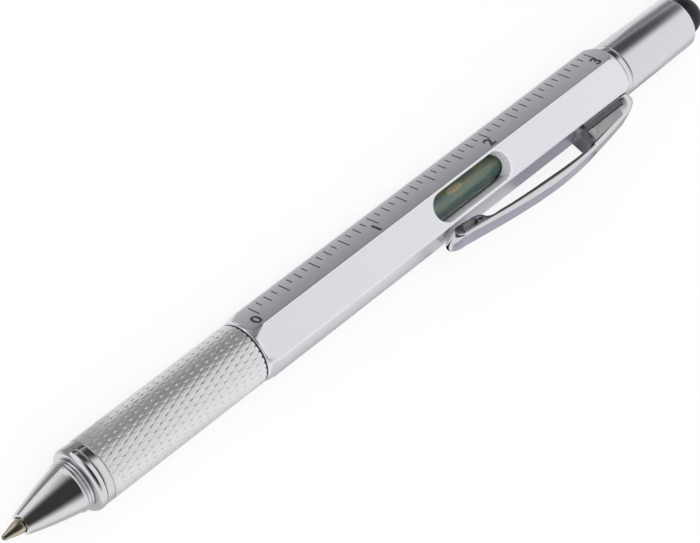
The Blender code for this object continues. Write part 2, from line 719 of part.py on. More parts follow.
def make_washer(parent):
    """The dark ring in the joint between the grip and the barrel."""
    front = GRIP_REAR + SEAT_GAP
    rear = BARREL_FRONT - SEAT_GAP
    inside = DRIVE_TUBE_RADIUS + RUNNING_FIT
    outline = [(front, inside), (front, WASHER_RADIUS), (rear, WASHER_RADIUS), (rear, inside)]
    turned("slip_washer", outline, parent, BROWN_PLASTIC)


def nose_cone_side():
    """The slightly bulged cone, from its front rim to the first ridge."""
    points = []
    for i in range(ARC_STEPS + 1):
        share = i / ARC_STEPS
        radius = NOSE_CONE_FRONT_RADIUS + share * (NOSE_CONE_REAR_RADIUS - NOSE_CONE_FRONT_RADIUS)
        points.append(
            (NOSE_FRONT + share * NOSE_CONE_LENGTH, radius + NOSE_CONE_BULGE * math.sin(math.pi * share))
        )
    return points


def make_nose(parent):
    hole = REFILL_TUBE_RADIUS + RUNNING_FIT
    outline = [(NOSE_FRONT, hole), *nose_cone_side()]
    root = NOSE_RIDGE_RADIUS - NOSE_RIDGE_DEPTH
    for ridge in range(NOSE_RIDGE_COUNT):
        front = RIDGE_FRONT + ridge * NOSE_RIDGE_PITCH
        outline += [
            (front + NOSE_RIDGE_PITCH / 4, root),
            (front + NOSE_RIDGE_PITCH / 2, NOSE_RIDGE_RADIUS),
            (front + 3 * NOSE_RIDGE_PITCH / 4, NOSE_RIDGE_RADIUS),
        ]
    outline.append((RIDGE_REAR, root))
    round_radius = NOSE_FLANGE_RADIUS - NOSE_FLANGE_FRONT_RADIUS
    outline += arc(
        RIDGE_REAR + round_radius, NOSE_FLANGE_FRONT_RADIUS, round_radius, math.pi, math.pi / 2
    )
    spigot_rear = NOSE_REAR + NOSE_SPIGOT_LENGTH
    outline += [
        (NOSE_REAR - GRIP_EDGE_BREAK, NOSE_FLANGE_RADIUS),
        (NOSE_REAR, NOSE_FLANGE_RADIUS - GRIP_EDGE_BREAK),
        (NOSE_REAR, NOSE_SPIGOT_RADIUS),
        (spigot_rear - GRIP_EDGE_BREAK, NOSE_SPIGOT_RADIUS),
        (spigot_rear, NOSE_SPIGOT_RADIUS - GRIP_EDGE_BREAK),
        (spigot_rear, NOSE_BORE_RADIUS),
        (RIDGE_FRONT, NOSE_BORE_RADIUS),
        (NOSE_FRONT + NOSE_TIP_WALL_LENGTH, hole),
    ]
    turned("nose_cone", outline, parent, CHROME)


# Refill


def nib_cone_side(front, front_radius):
    """The slightly bulged cone of the writing tip, from its lip to its straight body."""
    points = []
    for i in range(ARC_STEPS + 1):
        share = i / ARC_STEPS
        radius = front_radius + share * (NIB_BODY_RADIUS - front_radius)
        place = front + share * (NIB_BODY_FRONT - front)
        points.append((place, radius + NIB_CONE_BULGE * math.sin(math.pi * share)))
    return points


def make_refill(parent):
    seat_radius = BALL_RADIUS + BALL_SEAT_GAP
    seat = arc(BALL_CENTRE, 0, seat_radius, math.pi - BALL_SEAT_ANGLE, 0)
    lip_z, lip_radius = seat[0]
    spigot_rear = REFILL_TUBE_FRONT + NIB_SPIGOT_LENGTH
    body_rear = REFILL_TUBE_FRONT - SEAT_GAP
    outline = [
        (seat[-1][0], 0),
        *reversed(seat[:-1]),
        *nib_cone_side(lip_z, lip_radius + NIB_LIP_WALL),
        (body_rear, NIB_BODY_RADIUS),
        (body_rear, INK_RADIUS),
        (spigot_rear, INK_RADIUS),
        (spigot_rear, 0),
    ]
    turned("refill_nib", outline, parent, BRASS, SMALL_STEPS)

    ball = arc(BALL_CENTRE, 0, BALL_RADIUS, math.pi, 0, 2 * ARC_STEPS)
    outline = [(ball[0][0], 0), *ball[1:-1], (ball[-1][0], 0)]
    turned("writing_ball", outline, parent, STEEL, TINY_STEPS)

    outline = [
        (REFILL_TUBE_FRONT, REFILL_INNER_RADIUS),
        (REFILL_TUBE_FRONT, REFILL_TUBE_RADIUS),
        (REFILL_REAR, REFILL_TUBE_RADIUS),
        (REFILL_REAR, REFILL_INNER_RADIUS),
    ]
    turned("refill_tube", outline, parent, STEEL, SMALL_STEPS)

    plain_rod("ink_column", INK_FRONT, INK_REAR, INK_RADIUS, parent, BLUE_INK)
    follower_front = INK_REAR + SEAT_GAP
    plain_rod(
        "ink_follower", follower_front, follower_front + FOLLOWER_LENGTH, INK_RADIUS, parent, GREASE
    )


def plain_rod(name, front, rear, radius, parent, finish=None):
    outline = [(front, 0), (front, radius), (rear, radius), (rear, 0)]
    return turned(name, outline, parent, finish, TINY_STEPS)


# Twist mechanism


def make_cam_tube(parent):
    """Fixed in the barrel, with the helical slot that drives the carrier's pin along the pen."""
    outline = [
        (CAM_TUBE_FRONT, CAM_TUBE_INNER_RADIUS),
        (CAM_TUBE_FRONT, CAM_TUBE_RADIUS),
        (CAM_TUBE_REAR, CAM_TUBE_RADIUS),
        (CAM_TUBE_REAR, CAM_TUBE_INNER_RADIUS),
    ]
    tube = turned("cam_tube", outline, parent, STEEL, SMALL_STEPS)
    boolean(tube, make_helical_slot(parent), "DIFFERENCE")


def make_helical_slot(parent):
    """A ribbon swept along the pin's path and thickened through the tube's wall, longer by the pin's
    radius and fit at each end."""
    middle_radius = (CAM_TUBE_INNER_RADIUS + CAM_TUBE_RADIUS) / 2
    end_angle = PIN_SLOT_HALF_WIDTH / middle_radius
    rise_per_angle = REFILL_TRAVEL / TWIST_ANGLE
    slope = math.atan(rise_per_angle / middle_radius)
    half_width = PIN_SLOT_HALF_WIDTH / math.cos(slope)
    start = PIN_CENTRE - end_angle * rise_per_angle
    mesh = bpy.data.meshes.new("helical_slot")
    mesh.from_pydata(
        [(middle_radius, 0, start + half_width), (middle_radius, 0, start - half_width)], [(0, 1)], []
    )
    slot = add_object("helical_slot", mesh, parent)
    slot.rotation_euler.z = -end_angle
    sweep = slot.modifiers.new("sweep", "SCREW")
    sweep.axis = "Z"
    sweep.angle = TWIST_ANGLE + 2 * end_angle
    sweep.screw_offset = sweep.angle * rise_per_angle
    sweep.steps = SLOT_STEPS
    sweep.render_steps = SLOT_STEPS
    wall = slot.modifiers.new("wall", "SOLIDIFY")
    wall.thickness = CAM_TUBE_WALL + 2 * (DRIVE_TUBE_WALL / 2)
    wall.offset = 0
    return slot


def make_drive_tube(parent):
    """Pressed in the grip, with the straight slot that turns the carrier's pin."""
    outline = [
        (DRIVE_TUBE_FRONT, DRIVE_TUBE_INNER_RADIUS),
        (DRIVE_TUBE_FRONT, DRIVE_TUBE_RADIUS),
        (RETAINING_GROOVE_FRONT, DRIVE_TUBE_RADIUS),
        (RETAINING_GROOVE_FRONT, RETAINING_GROOVE_RADIUS),
        (RETAINING_GROOVE_REAR, RETAINING_GROOVE_RADIUS),
        (RETAINING_GROOVE_REAR, DRIVE_TUBE_RADIUS),
        (DRIVE_TUBE_REAR, DRIVE_TUBE_RADIUS),
        (DRIVE_TUBE_REAR, DRIVE_TUBE_INNER_RADIUS),
    ]
    tube = turned("drive_tube", outline, parent, BRASS, SMALL_STEPS)
    low = (CARRIER_RADIUS / 2, -PIN_SLOT_HALF_WIDTH, PIN_CENTRE - PIN_SLOT_HALF_WIDTH)
    high = (
        CAM_TUBE_RADIUS,
        PIN_SLOT_HALF_WIDTH,
        PIN_CENTRE + REFILL_TRAVEL + PIN_SLOT_HALF_WIDTH,
    )
    boolean(tube, box("straight_slot", low, high, parent), "DIFFERENCE")


def make_retaining_ring(parent):
    """The open ring behind the cam tube that keeps the drive tube in the barrel."""
    front = RETAINING_RING_FRONT
    rear = RETAINING_RING_REAR
    inside = RETAINING_GROOVE_RADIUS + SEAT_GAP
    outline = [
        (front, inside),
        (front, RETAINING_RING_RADIUS),
        (rear, RETAINING_RING_RADIUS),
        (rear, inside),
    ]
    ring = turned("retaining_ring", outline, parent, STEEL, SMALL_STEPS)
    half_opening = RETAINING_RING_OPENING / 2
    low = (-MECHANISM_BORE_RADIUS, -half_opening, front - OVERRUN)
    high = (0, half_opening, rear + OVERRUN)
    boolean(ring, box("ring_opening", low, high, parent), "DIFFERENCE")


def make_carrier(parent):
    """Holds the refill's end in its cup, with the pin that runs in both slots."""
    cup_radius = REFILL_TUBE_RADIUS + SEAT_GAP
    outline = [
        (CARRIER_FRONT, cup_radius),
        (CARRIER_FRONT, CARRIER_RADIUS),
        (CARRIER_REAR, CARRIER_RADIUS),
        (CARRIER_REAR, 0),
        (CARRIER_FRONT + CARRIER_CUP_DEPTH, 0),
        (CARRIER_FRONT + CARRIER_CUP_DEPTH, cup_radius),
    ]
    carrier = turned_open("refill_carrier", outline, parent, WHITE_PLASTIC)

    def fill(work):
        root = CARRIER_RADIUS - PIN_ROOT
        matrix = Matrix.Translation(((root + PIN_TIP_RADIUS) / 2, 0, PIN_CENTRE))
        bmesh.ops.create_cone(
            work,
            cap_ends=True,
            segments=TINY_STEPS,
            radius1=CARRIER_PIN_RADIUS,
            radius2=CARRIER_PIN_RADIUS,
            depth=PIN_TIP_RADIUS - root,
            matrix=matrix @ Matrix.Rotation(math.pi / 2, 4, "Y"),
        )

    boolean(carrier, mesh_object("carrier_pin", fill, parent), "UNION")


def turned_open(name, outline, parent, finish):
    """A turned cup: its outline meets the axis only between the rear face and the cup's floor."""
    start = next(i for i, point in enumerate(outline) if point[1] == 0)
    around = outline[start + 1 :] + outline[: start + 1]
    return turned(name, around, parent, finish, SMALL_STEPS)


# Bit holder and bit


def make_bit_holder(parent):
    spigot_edge = HOLDER_SPIGOT_RADIUS - HOLDER_EDGE_BREAK
    outline = [
        (HOLDER_FRONT, 0),
        (HOLDER_FRONT, HOLDER_BODY_RADIUS),
        (HOLDER_RING_FRONT, HOLDER_BODY_RADIUS),
        (HOLDER_RING_FRONT, HOLDER_RING_RADIUS - HOLDER_EDGE_BREAK),
        (HOLDER_RING_FRONT + HOLDER_EDGE_BREAK, HOLDER_RING_RADIUS),
        (HOLDER_RING_REAR - HOLDER_EDGE_BREAK, HOLDER_RING_RADIUS),
        (HOLDER_RING_REAR, HOLDER_RING_RADIUS - HOLDER_EDGE_BREAK),
        (HOLDER_RING_REAR, HOLDER_SPIGOT_RADIUS),
        (HOLDER_REAR - HOLDER_EDGE_BREAK, HOLDER_SPIGOT_RADIUS),
        (HOLDER_REAR, spigot_edge),
        (HOLDER_REAR, 0),
    ]
    holder = turned("bit_holder", outline, parent, CHROME)
    socket = hexagon(
        "hex_socket",
        BIT_ACROSS_FLATS + 2 * BIT_SHANK_FIT,
        BIT_FRONT - SEAT_GAP,
        HOLDER_REAR + OVERRUN,
        parent,
    )
    boolean(holder, socket, "DIFFERENCE")


def make_bit(parent):
    """A hexagonal bit with a flat blade in the socket and a cross point outside."""
    bit = hexagon("screwdriver_bit", BIT_ACROSS_FLATS, BIT_FRONT - OVERRUN, BIT_REAR + OVERRUN, parent, STEEL)
    widest = BIT_CORNER_RADIUS + BARREL_ENVELOPE_SPARE
    shank_front = BIT_FRONT + BIT_NECK_LENGTH
    shank_rear = BIT_REAR - BIT_NECK_LENGTH
    outline = [
        (BIT_FRONT, 0),
        (BIT_FRONT, BIT_NECK_RADIUS),
        (shank_front - BIT_NECK_TAPER, BIT_NECK_RADIUS),
        (shank_front, widest),
        (shank_rear, widest),
        (shank_rear + BIT_NECK_TAPER, BIT_NECK_RADIUS),
        (BIT_REAR - BIT_POINT_LENGTH, BIT_NECK_RADIUS),
        (BIT_REAR, BIT_POINT_RADIUS),
        (BIT_REAR, 0),
    ]
    boolean(bit, turned("bit_envelope", outline, parent, steps=SMALL_STEPS), "INTERSECT")
    for side in (1, -1):
        boolean(bit, make_blade_side(side, parent), "DIFFERENCE")
    for quarter in range(4):
        boolean(bit, make_flute(quarter, parent), "DIFFERENCE")


def make_blade_side(side, parent):
    """A wedge that takes one side off the round neck, to leave a flat blade at its end."""
    near = BLADE_THICKNESS / 2
    far = BIT_NECK_RADIUS + OVERRUN
    run = [
        (BIT_FRONT - OVERRUN, near),
        (BIT_FRONT, near),
        (BIT_FRONT + BLADE_TAPER_LENGTH, far),
        (BIT_FRONT - OVERRUN, far),
    ]
    lie = Matrix(((0, side, 0, 0), (0, 0, side, 0), (1, 0, 0, 0), (0, 0, 0, 1)))
    seat = new_empty(f"blade_seat_{side + 1}", parent, lie)
    return plate(f"blade_side_{side + 1}", [(run, False)], 2 * far, seat)


def make_flute(quarter, parent):
    """A V-shaped flute between two wings of the cross point, deepest at the point."""
    turn = Matrix.Rotation(math.pi / 4 + quarter * math.pi / 2, 4, "Z")
    reach = BIT_NECK_RADIUS + OVERRUN
    lean = math.atan((BIT_NECK_RADIUS - FLUTE_CORE_RADIUS) / FLUTE_LENGTH)
    root = Matrix.Translation((FLUTE_CORE_RADIUS, 0, BIT_REAR)) @ Matrix.Rotation(-lean, 4, "Y")
    diamond = Matrix.Rotation(math.pi / 4, 4, "Z")
    seat = new_empty(f"flute_seat_{quarter}", parent, turn @ root @ diamond)
    low = (0, 0, -FLUTE_LENGTH - OVERRUN)
    high = (reach, reach, OVERRUN)
    cutter = box(f"flute_{quarter}", low, high, seat)
    cutter.rotation_euler.z = -math.pi / 2
    return cutter


# Cap


def make_cap(parent):
    shelf = CAP_REAR - CAP_END_WALL
    hole = STYLUS_RADIUS + SEAT_GAP
    outline = [
        (CAP_FRONT, CAP_BORE_RADIUS),
        (CAP_FRONT, CAP_FRONT_RADIUS - CAP_FRONT_EDGE_BREAK),
        (CAP_FRONT + CAP_FRONT_EDGE_BREAK, CAP_FRONT_RADIUS),
        *arc(
            CAP_REAR - CAP_EDGE_BREAK,
            CAP_REAR_RADIUS - CAP_EDGE_BREAK,
            CAP_EDGE_BREAK,
            math.pi / 2,
            0,
            FILLET_SEGMENTS,
        ),
        (CAP_REAR, hole),
        (shelf, hole),
        (shelf, CAP_BORE_RADIUS),
    ]
    turned("cap_shell", outline, parent, SATIN_SILVER)

    inner = STYLUS_RADIUS - STYLUS_WALL
    flange_front = STYLUS_BASE - STYLUS_FLANGE_LENGTH
    outline = [
        (flange_front, inner),
        (flange_front, STYLUS_FLANGE_RADIUS),
        (STYLUS_BASE, STYLUS_FLANGE_RADIUS),
        (STYLUS_BASE, STYLUS_RADIUS),
        *arc(STYLUS_CENTRE, 0, STYLUS_RADIUS, math.pi / 2, 0, DOME_STEPS)[:-1],
        (STYLUS_CENTRE + STYLUS_RADIUS, 0),
        (STYLUS_CENTRE + inner, 0),
        *arc(STYLUS_CENTRE, 0, inner, 0, math.pi / 2)[1:],
    ]
    turned_open("stylus_tip", outline, parent, BLACK_RUBBER)

    disc_rear = flange_front - SEAT_GAP
    disc_front = disc_rear - RETAINER_DISC_LENGTH
    stem = inner - RUNNING_FIT
    outline = [
        (disc_front, 0),
        (disc_front, CAP_BORE_RADIUS - SEAT_GAP),
        (disc_rear, CAP_BORE_RADIUS - SEAT_GAP),
        (disc_rear, stem),
        (disc_rear + RETAINER_STEM_LENGTH, stem),
        (disc_rear + RETAINER_STEM_LENGTH, 0),
    ]
    turned("stylus_retainer", outline, parent, WHITE_PLASTIC, SMALL_STEPS)


# Clip


def clip_points(shares):
    """Shares of the clip's length and height as points about its pivot's foot on the barrel's flat."""
    return [
        (CLIP_TIP + along_share * CLIP_LENGTH - CLIP_PIVOT, up_share * CLIP_HEIGHT)
        for along_share, up_share in shares
    ]


def lifted(points, height):
    return [(x, y + height) for x, y in points]


def make_clip_arm(parent):
    """Bowed arm with a nub at its tip and a hollow foot over the post. It flexes about its rear end."""
    splines = [
        (lifted(clip_points(CLIP_OUTER_SHARES), -CLIP_PIVOT_HEIGHT), True),
        (lifted(clip_points(CLIP_FOOT_SHARES), -CLIP_PIVOT_HEIGHT), False),
        (lifted(clip_points(CLIP_INNER_SHARES), -CLIP_PIVOT_HEIGHT), True),
        (lifted(clip_points(CLIP_NUB_SHARES), -CLIP_PIVOT_HEIGHT), True),
    ]
    arm = plate("clip_arm", splines, CLIP_WIDTH, parent, CHROME)
    edges = arm.modifiers.new("edge_round", "BEVEL")
    edges.width = CLIP_EDGE_ROUND
    edges.segments = 2
    edges.limit_method = "ANGLE"
    edges.angle_limit = math.radians(60)
    boolean(arm, make_clip_plan(parent), "INTERSECT")
    half = CLIP_WIDTH / 2 - CLIP_CHANNEL_WALL
    ceiling = [(x, y - CLIP_SKIN) for x, y in clip_points(CLIP_OUTER_SHARES[5:])]
    last = clip_points([(1, 0)])[0][0] - CLIP_END_WALL
    first = clip_points([(CLIP_INNER_SHARES[0][0], 0)])[0][0] - OVERRUN
    run = [
        (first, -OVERRUN),
        (first, channel_ceiling(first, ceiling)),
        *[point for point in ceiling if first < point[0] < last],
        (last, channel_ceiling(last, ceiling)),
        (last, -OVERRUN),
    ]
    channel = plate(
        "clip_channel", [(lifted(run, -CLIP_PIVOT_HEIGHT), False)], 2 * half, parent
    )
    boolean(arm, channel, "DIFFERENCE")


def make_clip_plan(parent):
    """The clip's outline from above, round at both ends."""
    half = CLIP_WIDTH / 2
    plan = []
    for end, depth, side in ((CLIP_REAR, CLIP_REAR_ROUND, 1), (CLIP_TIP, CLIP_TIP_ROUND, -1)):
        middle = end - side * depth - CLIP_PIVOT
        for i in range(PLAN_STEPS + 1):
            angle = math.pi * i / PLAN_STEPS
            plan.append((middle + side * depth * math.sin(angle), side * half * math.cos(angle)))
    seat = new_empty("clip_plan_seat", parent, Matrix.Rotation(math.pi / 2, 4, "X"))
    return plate("clip_plan", [(plan, False)], 2 * (CLIP_HEIGHT + OVERRUN), seat)


def channel_ceiling(x, ceiling):
    """The height of the foot's ceiling at a place along it, between the points of its outline."""
    for (x0, y0), (x1, y1) in zip(ceiling, ceiling[1:]):
        if x <= x1 or (x1, y1) == ceiling[-1]:
            return y0 + (y1 - y0) * (x - x0) / (x1 - x0)
    return ceiling[-1][1]


def make_clip_post():
    """The post inside the clip's foot, on a base on the barrel's flat, with a tang staked in the wall."""
    ceiling = [(x, y - CLIP_SKIN - POST_CEILING_GAP) for x, y in clip_points(CLIP_OUTER_SHARES[5:])]
    front = POST_FRONT - CLIP_PIVOT
    rear = POST_REAR - CLIP_PIVOT
    run = [
        (front, SEAT_GAP),
        (front, channel_ceiling(front, ceiling)),
        *[point for point in ceiling if front < point[0] < rear],
        (rear, channel_ceiling(rear, ceiling)),
        (rear, SEAT_GAP),
    ]
    post = plate("clip_post", [(run, False)], 2 * POST_HALF_WIDTH, CLIP_BASE, CHROME)
    low = (tang_centre() - TANG_LENGTH / 2, HOLDER_BORE_RADIUS - BARREL_FLAT_RADIUS, -TANG_WIDTH / 2)
    high = (tang_centre() + TANG_LENGTH / 2, 2 * SEAT_GAP + OVERRUN, TANG_WIDTH / 2)
    boolean(post, box("tang", low, high, CLIP_BASE), "UNION")
    base_front = FOOT_FRONT + POST_FIT - CLIP_PIVOT
    base_rear = CLIP_REAR - CLIP_END_WALL - POST_FIT - CLIP_PIVOT
    low = (base_front, SEAT_GAP, -POST_BASE_WIDTH / 2)
    high = (base_rear, POST_BASE_HEIGHT, POST_BASE_WIDTH / 2)
    boolean(post, box("post_base", low, high, CLIP_BASE), "UNION")


clear_scene()
PARTS = new_collection("multi_tool_pen")
CUTTERS = new_collection("cutters")

pen_axis = new_empty("pen_axis")
pen_axis.location.z = BARREL_FLAT_RADIUS
pen_axis.rotation_euler.y = math.pi / 2
grip_turn = new_empty("grip_turn", pen_axis)
refill_travel = new_empty("refill_travel", grip_turn)
cap_pull = new_empty("cap_pull", pen_axis)
out = Vector((math.cos(CLIP_FACE), math.sin(CLIP_FACE), 0))
up_pen = Vector((0, 0, 1))
clip_axes = Matrix((up_pen, out, up_pen.cross(out))).transposed().to_4x4()
CLIP_BASE = new_empty(
    "clip_base", pen_axis, along(CLIP_PIVOT) @ Matrix.Translation(out * BARREL_FLAT_RADIUS) @ clip_axes
)
clip_pivot = new_empty("clip_pivot", CLIP_BASE, Matrix.Translation((0, CLIP_PIVOT_HEIGHT, 0)))

make_barrel(pen_axis)
make_level(pen_axis)
make_cam_tube(pen_axis)
make_washer(pen_axis)
make_bit_holder(pen_axis)
make_bit(pen_axis)
make_clip_post()
make_grip(grip_turn)
make_nose(grip_turn)
make_drive_tube(grip_turn)
make_retaining_ring(grip_turn)
make_carrier(refill_travel)
make_refill(refill_travel)
make_cap(cap_pull)
make_clip_arm(clip_pivot)

bpy.context.view_layer.update()
for part in list(PARTS.objects):
    if part.type == "MESH":
        settle(part)
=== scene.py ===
"""A multi tool pen: satin hexagonal barrel with an inch rule and a spirit level, knurled grip, polished
nose and clip, and a cap with a rubber stylus.

World +X runs along the pen from the ball to the stylus, +Z is the face with the level in it, and the
origin is the middle of the flat underneath the barrel. Sizes are in millimetres, apart from the few that a
comment gives in metres, and are turned to metres where the meshes are made.
"""

import math

import bmesh
import bpy
from mathutils import Matrix, Vector


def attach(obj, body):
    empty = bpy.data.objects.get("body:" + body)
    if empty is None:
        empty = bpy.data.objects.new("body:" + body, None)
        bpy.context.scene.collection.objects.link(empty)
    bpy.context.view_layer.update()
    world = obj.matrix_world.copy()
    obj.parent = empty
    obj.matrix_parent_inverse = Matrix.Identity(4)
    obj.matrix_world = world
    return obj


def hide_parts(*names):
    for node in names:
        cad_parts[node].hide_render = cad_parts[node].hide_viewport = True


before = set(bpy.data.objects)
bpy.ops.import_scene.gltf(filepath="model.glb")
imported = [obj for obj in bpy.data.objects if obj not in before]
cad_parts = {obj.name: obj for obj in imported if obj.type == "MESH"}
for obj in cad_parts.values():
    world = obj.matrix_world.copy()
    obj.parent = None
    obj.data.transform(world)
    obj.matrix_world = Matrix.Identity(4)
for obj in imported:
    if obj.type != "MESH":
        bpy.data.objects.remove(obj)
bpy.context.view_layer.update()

MM = 0.001

# Camera, fitted to the rule's ticks and the hexagon's edges
CAMERA_PLACE = (-232.0367832, 80.79927642, 353.3017372)
CAMERA_RIGHT = (0.68111752, -0.50171573, 0.53325439)
CAMERA_UP = (0.52315831, 0.84302676, 0.12494504)
CAMERA_BACK = (-0.51223461, 0.19387421, 0.83667705)
CAMERA_LENS = 143.687
SENSOR_WIDTH = 36.0
# The nearest and farthest that it sees, in metres
CAMERA_NEAREST = 0.01
CAMERA_FARTHEST = 20.0

# Fineness
COLUMNS = 128
KNURL_COLUMNS_EACH = 16
EDGE_STEPS = 4
RIDGE_STEPS = 8
FLANGE_STEPS = 12
SEAT_STEPS = 8
BALL_STEPS = 24
BUBBLE_STEPS = 24
CURVE_STEPS = 14
SHARP_ANGLE = math.radians(38)
FLAT_ANGLE = math.radians(0.2)
WELD_DISTANCE = 0.0001 * MM
# The most of a side that the rounding of its corner takes
CORNER_SHARE = 0.4

# A wave texture draws about this many bands for each unit of its scale
WAVE_BANDS = math.pi
# Inputs and the output of a mix by number, as their names repeat
MIX_NUMBERS = (2, 3)
MIX_COLOURS = (6, 7)
MIXED_COLOUR = 2

# The pen's axis, and the faces about it by the angle from +Y towards +Z
AXIS_HEIGHT = 4.85
FLAT_RADIUS = 4.85
RULE_FACE_ANGLE = math.radians(30)
CLIP_FACE_ANGLE = math.radians(150)

# Turned pieces in mm: (place along the pen, radius), up the outside and back down the bore
CAP_OUTLINE = (
    (42.55, 3.7),
    (42.55, 4.7),
    (58.95, 4.46),
    (58.95, 3.35),
    (57.95, 3.35),
    (57.95, 3.7),
)
CAP_EDGE = 0.22
RING_OUTLINE = (
    (19.25, 0.0),
    (19.25, 3.5),
    (41.35, 3.5),
    (41.35, 4.74),
    (42.45, 4.74),
    (42.45, 3.6),
)
RING_EDGE = 0.18
WASHER_OUTLINE = ((-41.59, 3.1), (-41.59, 4.9), (-41.35, 4.9), (-41.35, 3.1))
WASHER_EDGE = 0.05
STYLUS_BASE = 57.9
STYLUS_FLANGE_FRONT = 57.1
STYLUS_FLANGE_RADIUS = 3.65
STYLUS_CENTRE = 60.75
STYLUS_RADIUS = 3.3
STYLUS_WALL = 0.7
STYLUS_STEPS = 24

# The bit holder's thread and socket
THREAD_FRONT = 43.0
THREAD_REAR = 46.65
THREAD_PITCH = 0.6
THREAD_DEPTH = 0.22
THREAD_RADIUS = 3.6
THREAD_STEPS_EACH = 8
SOCKET_SIDES = 6
SOCKET_ACROSS_FLATS = 4.16
SOCKET_FRONT = 29.0
SOCKET_OVERRUN = 1.0

# Grip
GRIP_FRONT = -73.14
GRIP_REAR = -41.64
KNURL_FRONT = -71.84
KNURL_GROOVE_REAR = -71.70
KNURL_GROOVE_RADIUS = 4.92
KNURL_REAR = -41.86
GRIP_RADIUS = 5.04
GRIP_BORE_RADIUS = 4.2
GRIP_SEAT_RADIUS = 3.05
GRIP_SEAT_FRONT = -49.69
GRIP_EDGE = 0.12
KNURL_ROUND_COUNT = 32
KNURL_AXIAL_PITCH = 3.0
KNURL_ROWS_EACH = 16
KNURL_GROOVE_DEPTH = 0.025
KNURL_CROSSING_DEPTH = 0.12
KNURL_FLANK_SHARE = 0.2
KNURL_END_DROP = 0.08
KNURL_END_TOOTH = 0.14

# Nose
NOSE_FRONT = -84.87
NOSE_CONE_LENGTH = 8.6
NOSE_CONE_REAR = NOSE_FRONT + NOSE_CONE_LENGTH
NOSE_CONE_FRONT_RADIUS = 1.72
NOSE_CONE_REAR_RADIUS = 3.85
NOSE_CONE_BULGE = 0.12
NOSE_CONE_STEPS = 16
RIDGE_COUNT = 3
RIDGE_PITCH = 0.53
RIDGE_RADIUS = 4.05
RIDGE_ROOT = 3.74
RIDGE_SWELL = 0.8
FLANGE_FRONT = -74.68
FLANGE_REAR = -73.28
FLANGE_FRONT_RADIUS = 4.3
FLANGE_RADIUS = 5.13
FLANGE_ROUND = FLANGE_RADIUS - FLANGE_FRONT_RADIUS
SPIGOT_RADIUS = 4.1
SPIGOT_REAR = -67.88
NOSE_BORE_RADIUS = 1.9
NOSE_HOLE_RADIUS = 1.275
NOSE_TIP_WALL_REAR = -82.47
NOSE_EDGE = 0.12

# Writing tip
BALL_CENTRE = -88.02
BALL_RADIUS = 0.35
BALL_SEAT_RADIUS = 0.38
BALL_SEAT_ANGLE = math.radians(75)
NIB_LIP_WALL = 0.08
NIB_OUTLINE = (
    (-87.3, 0.62),
    (-86.6, 0.84),
    (-85.8, 1.04),
    (-85.0, 1.12),
    (-84.42, 1.125),
    (-80.27, 1.125),
    (-80.27, 0.825),
    (-76.72, 0.825),
)

# Spirit level
WINDOW_CENTRE = 4.95
WINDOW_REACH = 8.7
WINDOW_REACH_ACROSS = 2.8
WINDOW_WALL_COSINE = 0.9
VIAL_OUTLINE = (
    (-6.25, 0.0),
    (-6.25, 2.5),
    (16.15, 2.5),
    (16.15, 2.1),
    (-5.25, 2.1),
    (-5.25, 0.0),
)
VIAL_EDGE = 0.2
LIQUID_FRONT = -5.2
LIQUID_REAR = 14.5
LIQUID_RADIUS = 2.05
LIQUID_EDGE = 0.3
# Where the spirit's painted reflection tint is bluest and greenest, in shares of its radius towards the
# rule's side
SPIRIT_BLUE_TO_GREEN = (-1.5, 1)
BUBBLE_CENTRE = 3.65
BUBBLE_HEIGHT = 1.2
BUBBLE_RADIUS = 0.93
BUBBLE_FULLNESS = 0.16
BUBBLE_REACH = 2.09
BUBBLE_ROLL = math.radians(-26)
BUBBLE_LENGTH = 3.9

# Rule. Distances across its face count from the middle towards the outer edge, and a tick's length goes by
# the largest of these numbers of sixteenths that divides its place
INCH = 25.4
RULE_ZERO = -37.3
RULE_DIVISIONS = 16
RULE_INCHES = 3
TICK_OUTER_EDGE = 1.85
TICK_LENGTHS = ((4, 2.4), (2, 1.75), (1, 1.25))
TICK_WIDTH = 0.2
MARK_PROUD = 0.012
MARK_SUNK = 0.03
DIGIT_HEIGHT = 2.0
DIGIT_BOLDNESS = 0.09
DIGIT_MIDDLE = -1.03
DIGIT_PLACES = (("0", -1.25), ("1", 24.4), ("2", 50.0), ("3", 75.7))
FONT_CAP_SHARE = 0.72

# Pocket clip. Its outlines are in shares of its length from the tip and of its height over the barrel
CLIP_TIP = -3.2
CLIP_LENGTH = 44.2
CLIP_HEIGHT = 4.57
CLIP_WIDTH = 4.4
CLIP_TIP_ROUND = 1.2
CLIP_REAR_ROUND = 2.7
CLIP_ROUND_FADE = 5.0
CLIP_OUTER_ROUNDS = (
    (-3.2, 0.25),
    (-1.5, 0.3),
    (3, 0.45),
    (7, 0.5),
    (12, 0.65),
    (17, 0.75),
    (21, 0.65),
    (25.5, 0.45),
    (28.3, 0.33),
    (32, 0.45),
    (41, 0.5),
)
CLIP_INNER_ROUND = 0.1
CLIP_ROUND_START = 0.3
CLIP_LAYERS = 28
CLIP_CHANNEL_HALF_WIDTH = 1.6
CLIP_SKIN = 0.75
CLIP_CHANNEL_FRONT = 28.9
CLIP_CHANNEL_REAR = 38.2
CLIP_CEILING_KNOT = 5
CLIP_CROWN_FRONT = 26.0
CLIP_CROWN_FADE = 4.0
CLIP_CROWN = 0.012
NUB_TOOL_OUTSIDE = 0.3
NUB_POCKET_DEPTH = 1.1
NUB_POCKET_SHARES = (
    (0.066, 0.170),
    (0.105, 0.168),
    (0.134, 0.208),
    (0.147, 0.290),
    (0.157, 0.410),
    (0.145, 0.470),
    (0.100, 0.480),
    (0.062, 0.360),
)
NUB_FLOOR_SHARES = (
    (0.070, 0.180),
    (0.105, 0.178),
    (0.132, 0.215),
    (0.142, 0.260),
    (0.146, 0.280),
    (0.138, 0.290),
    (0.100, 0.270),
    (0.066, 0.220),
)
NUB_RIM = 0.12
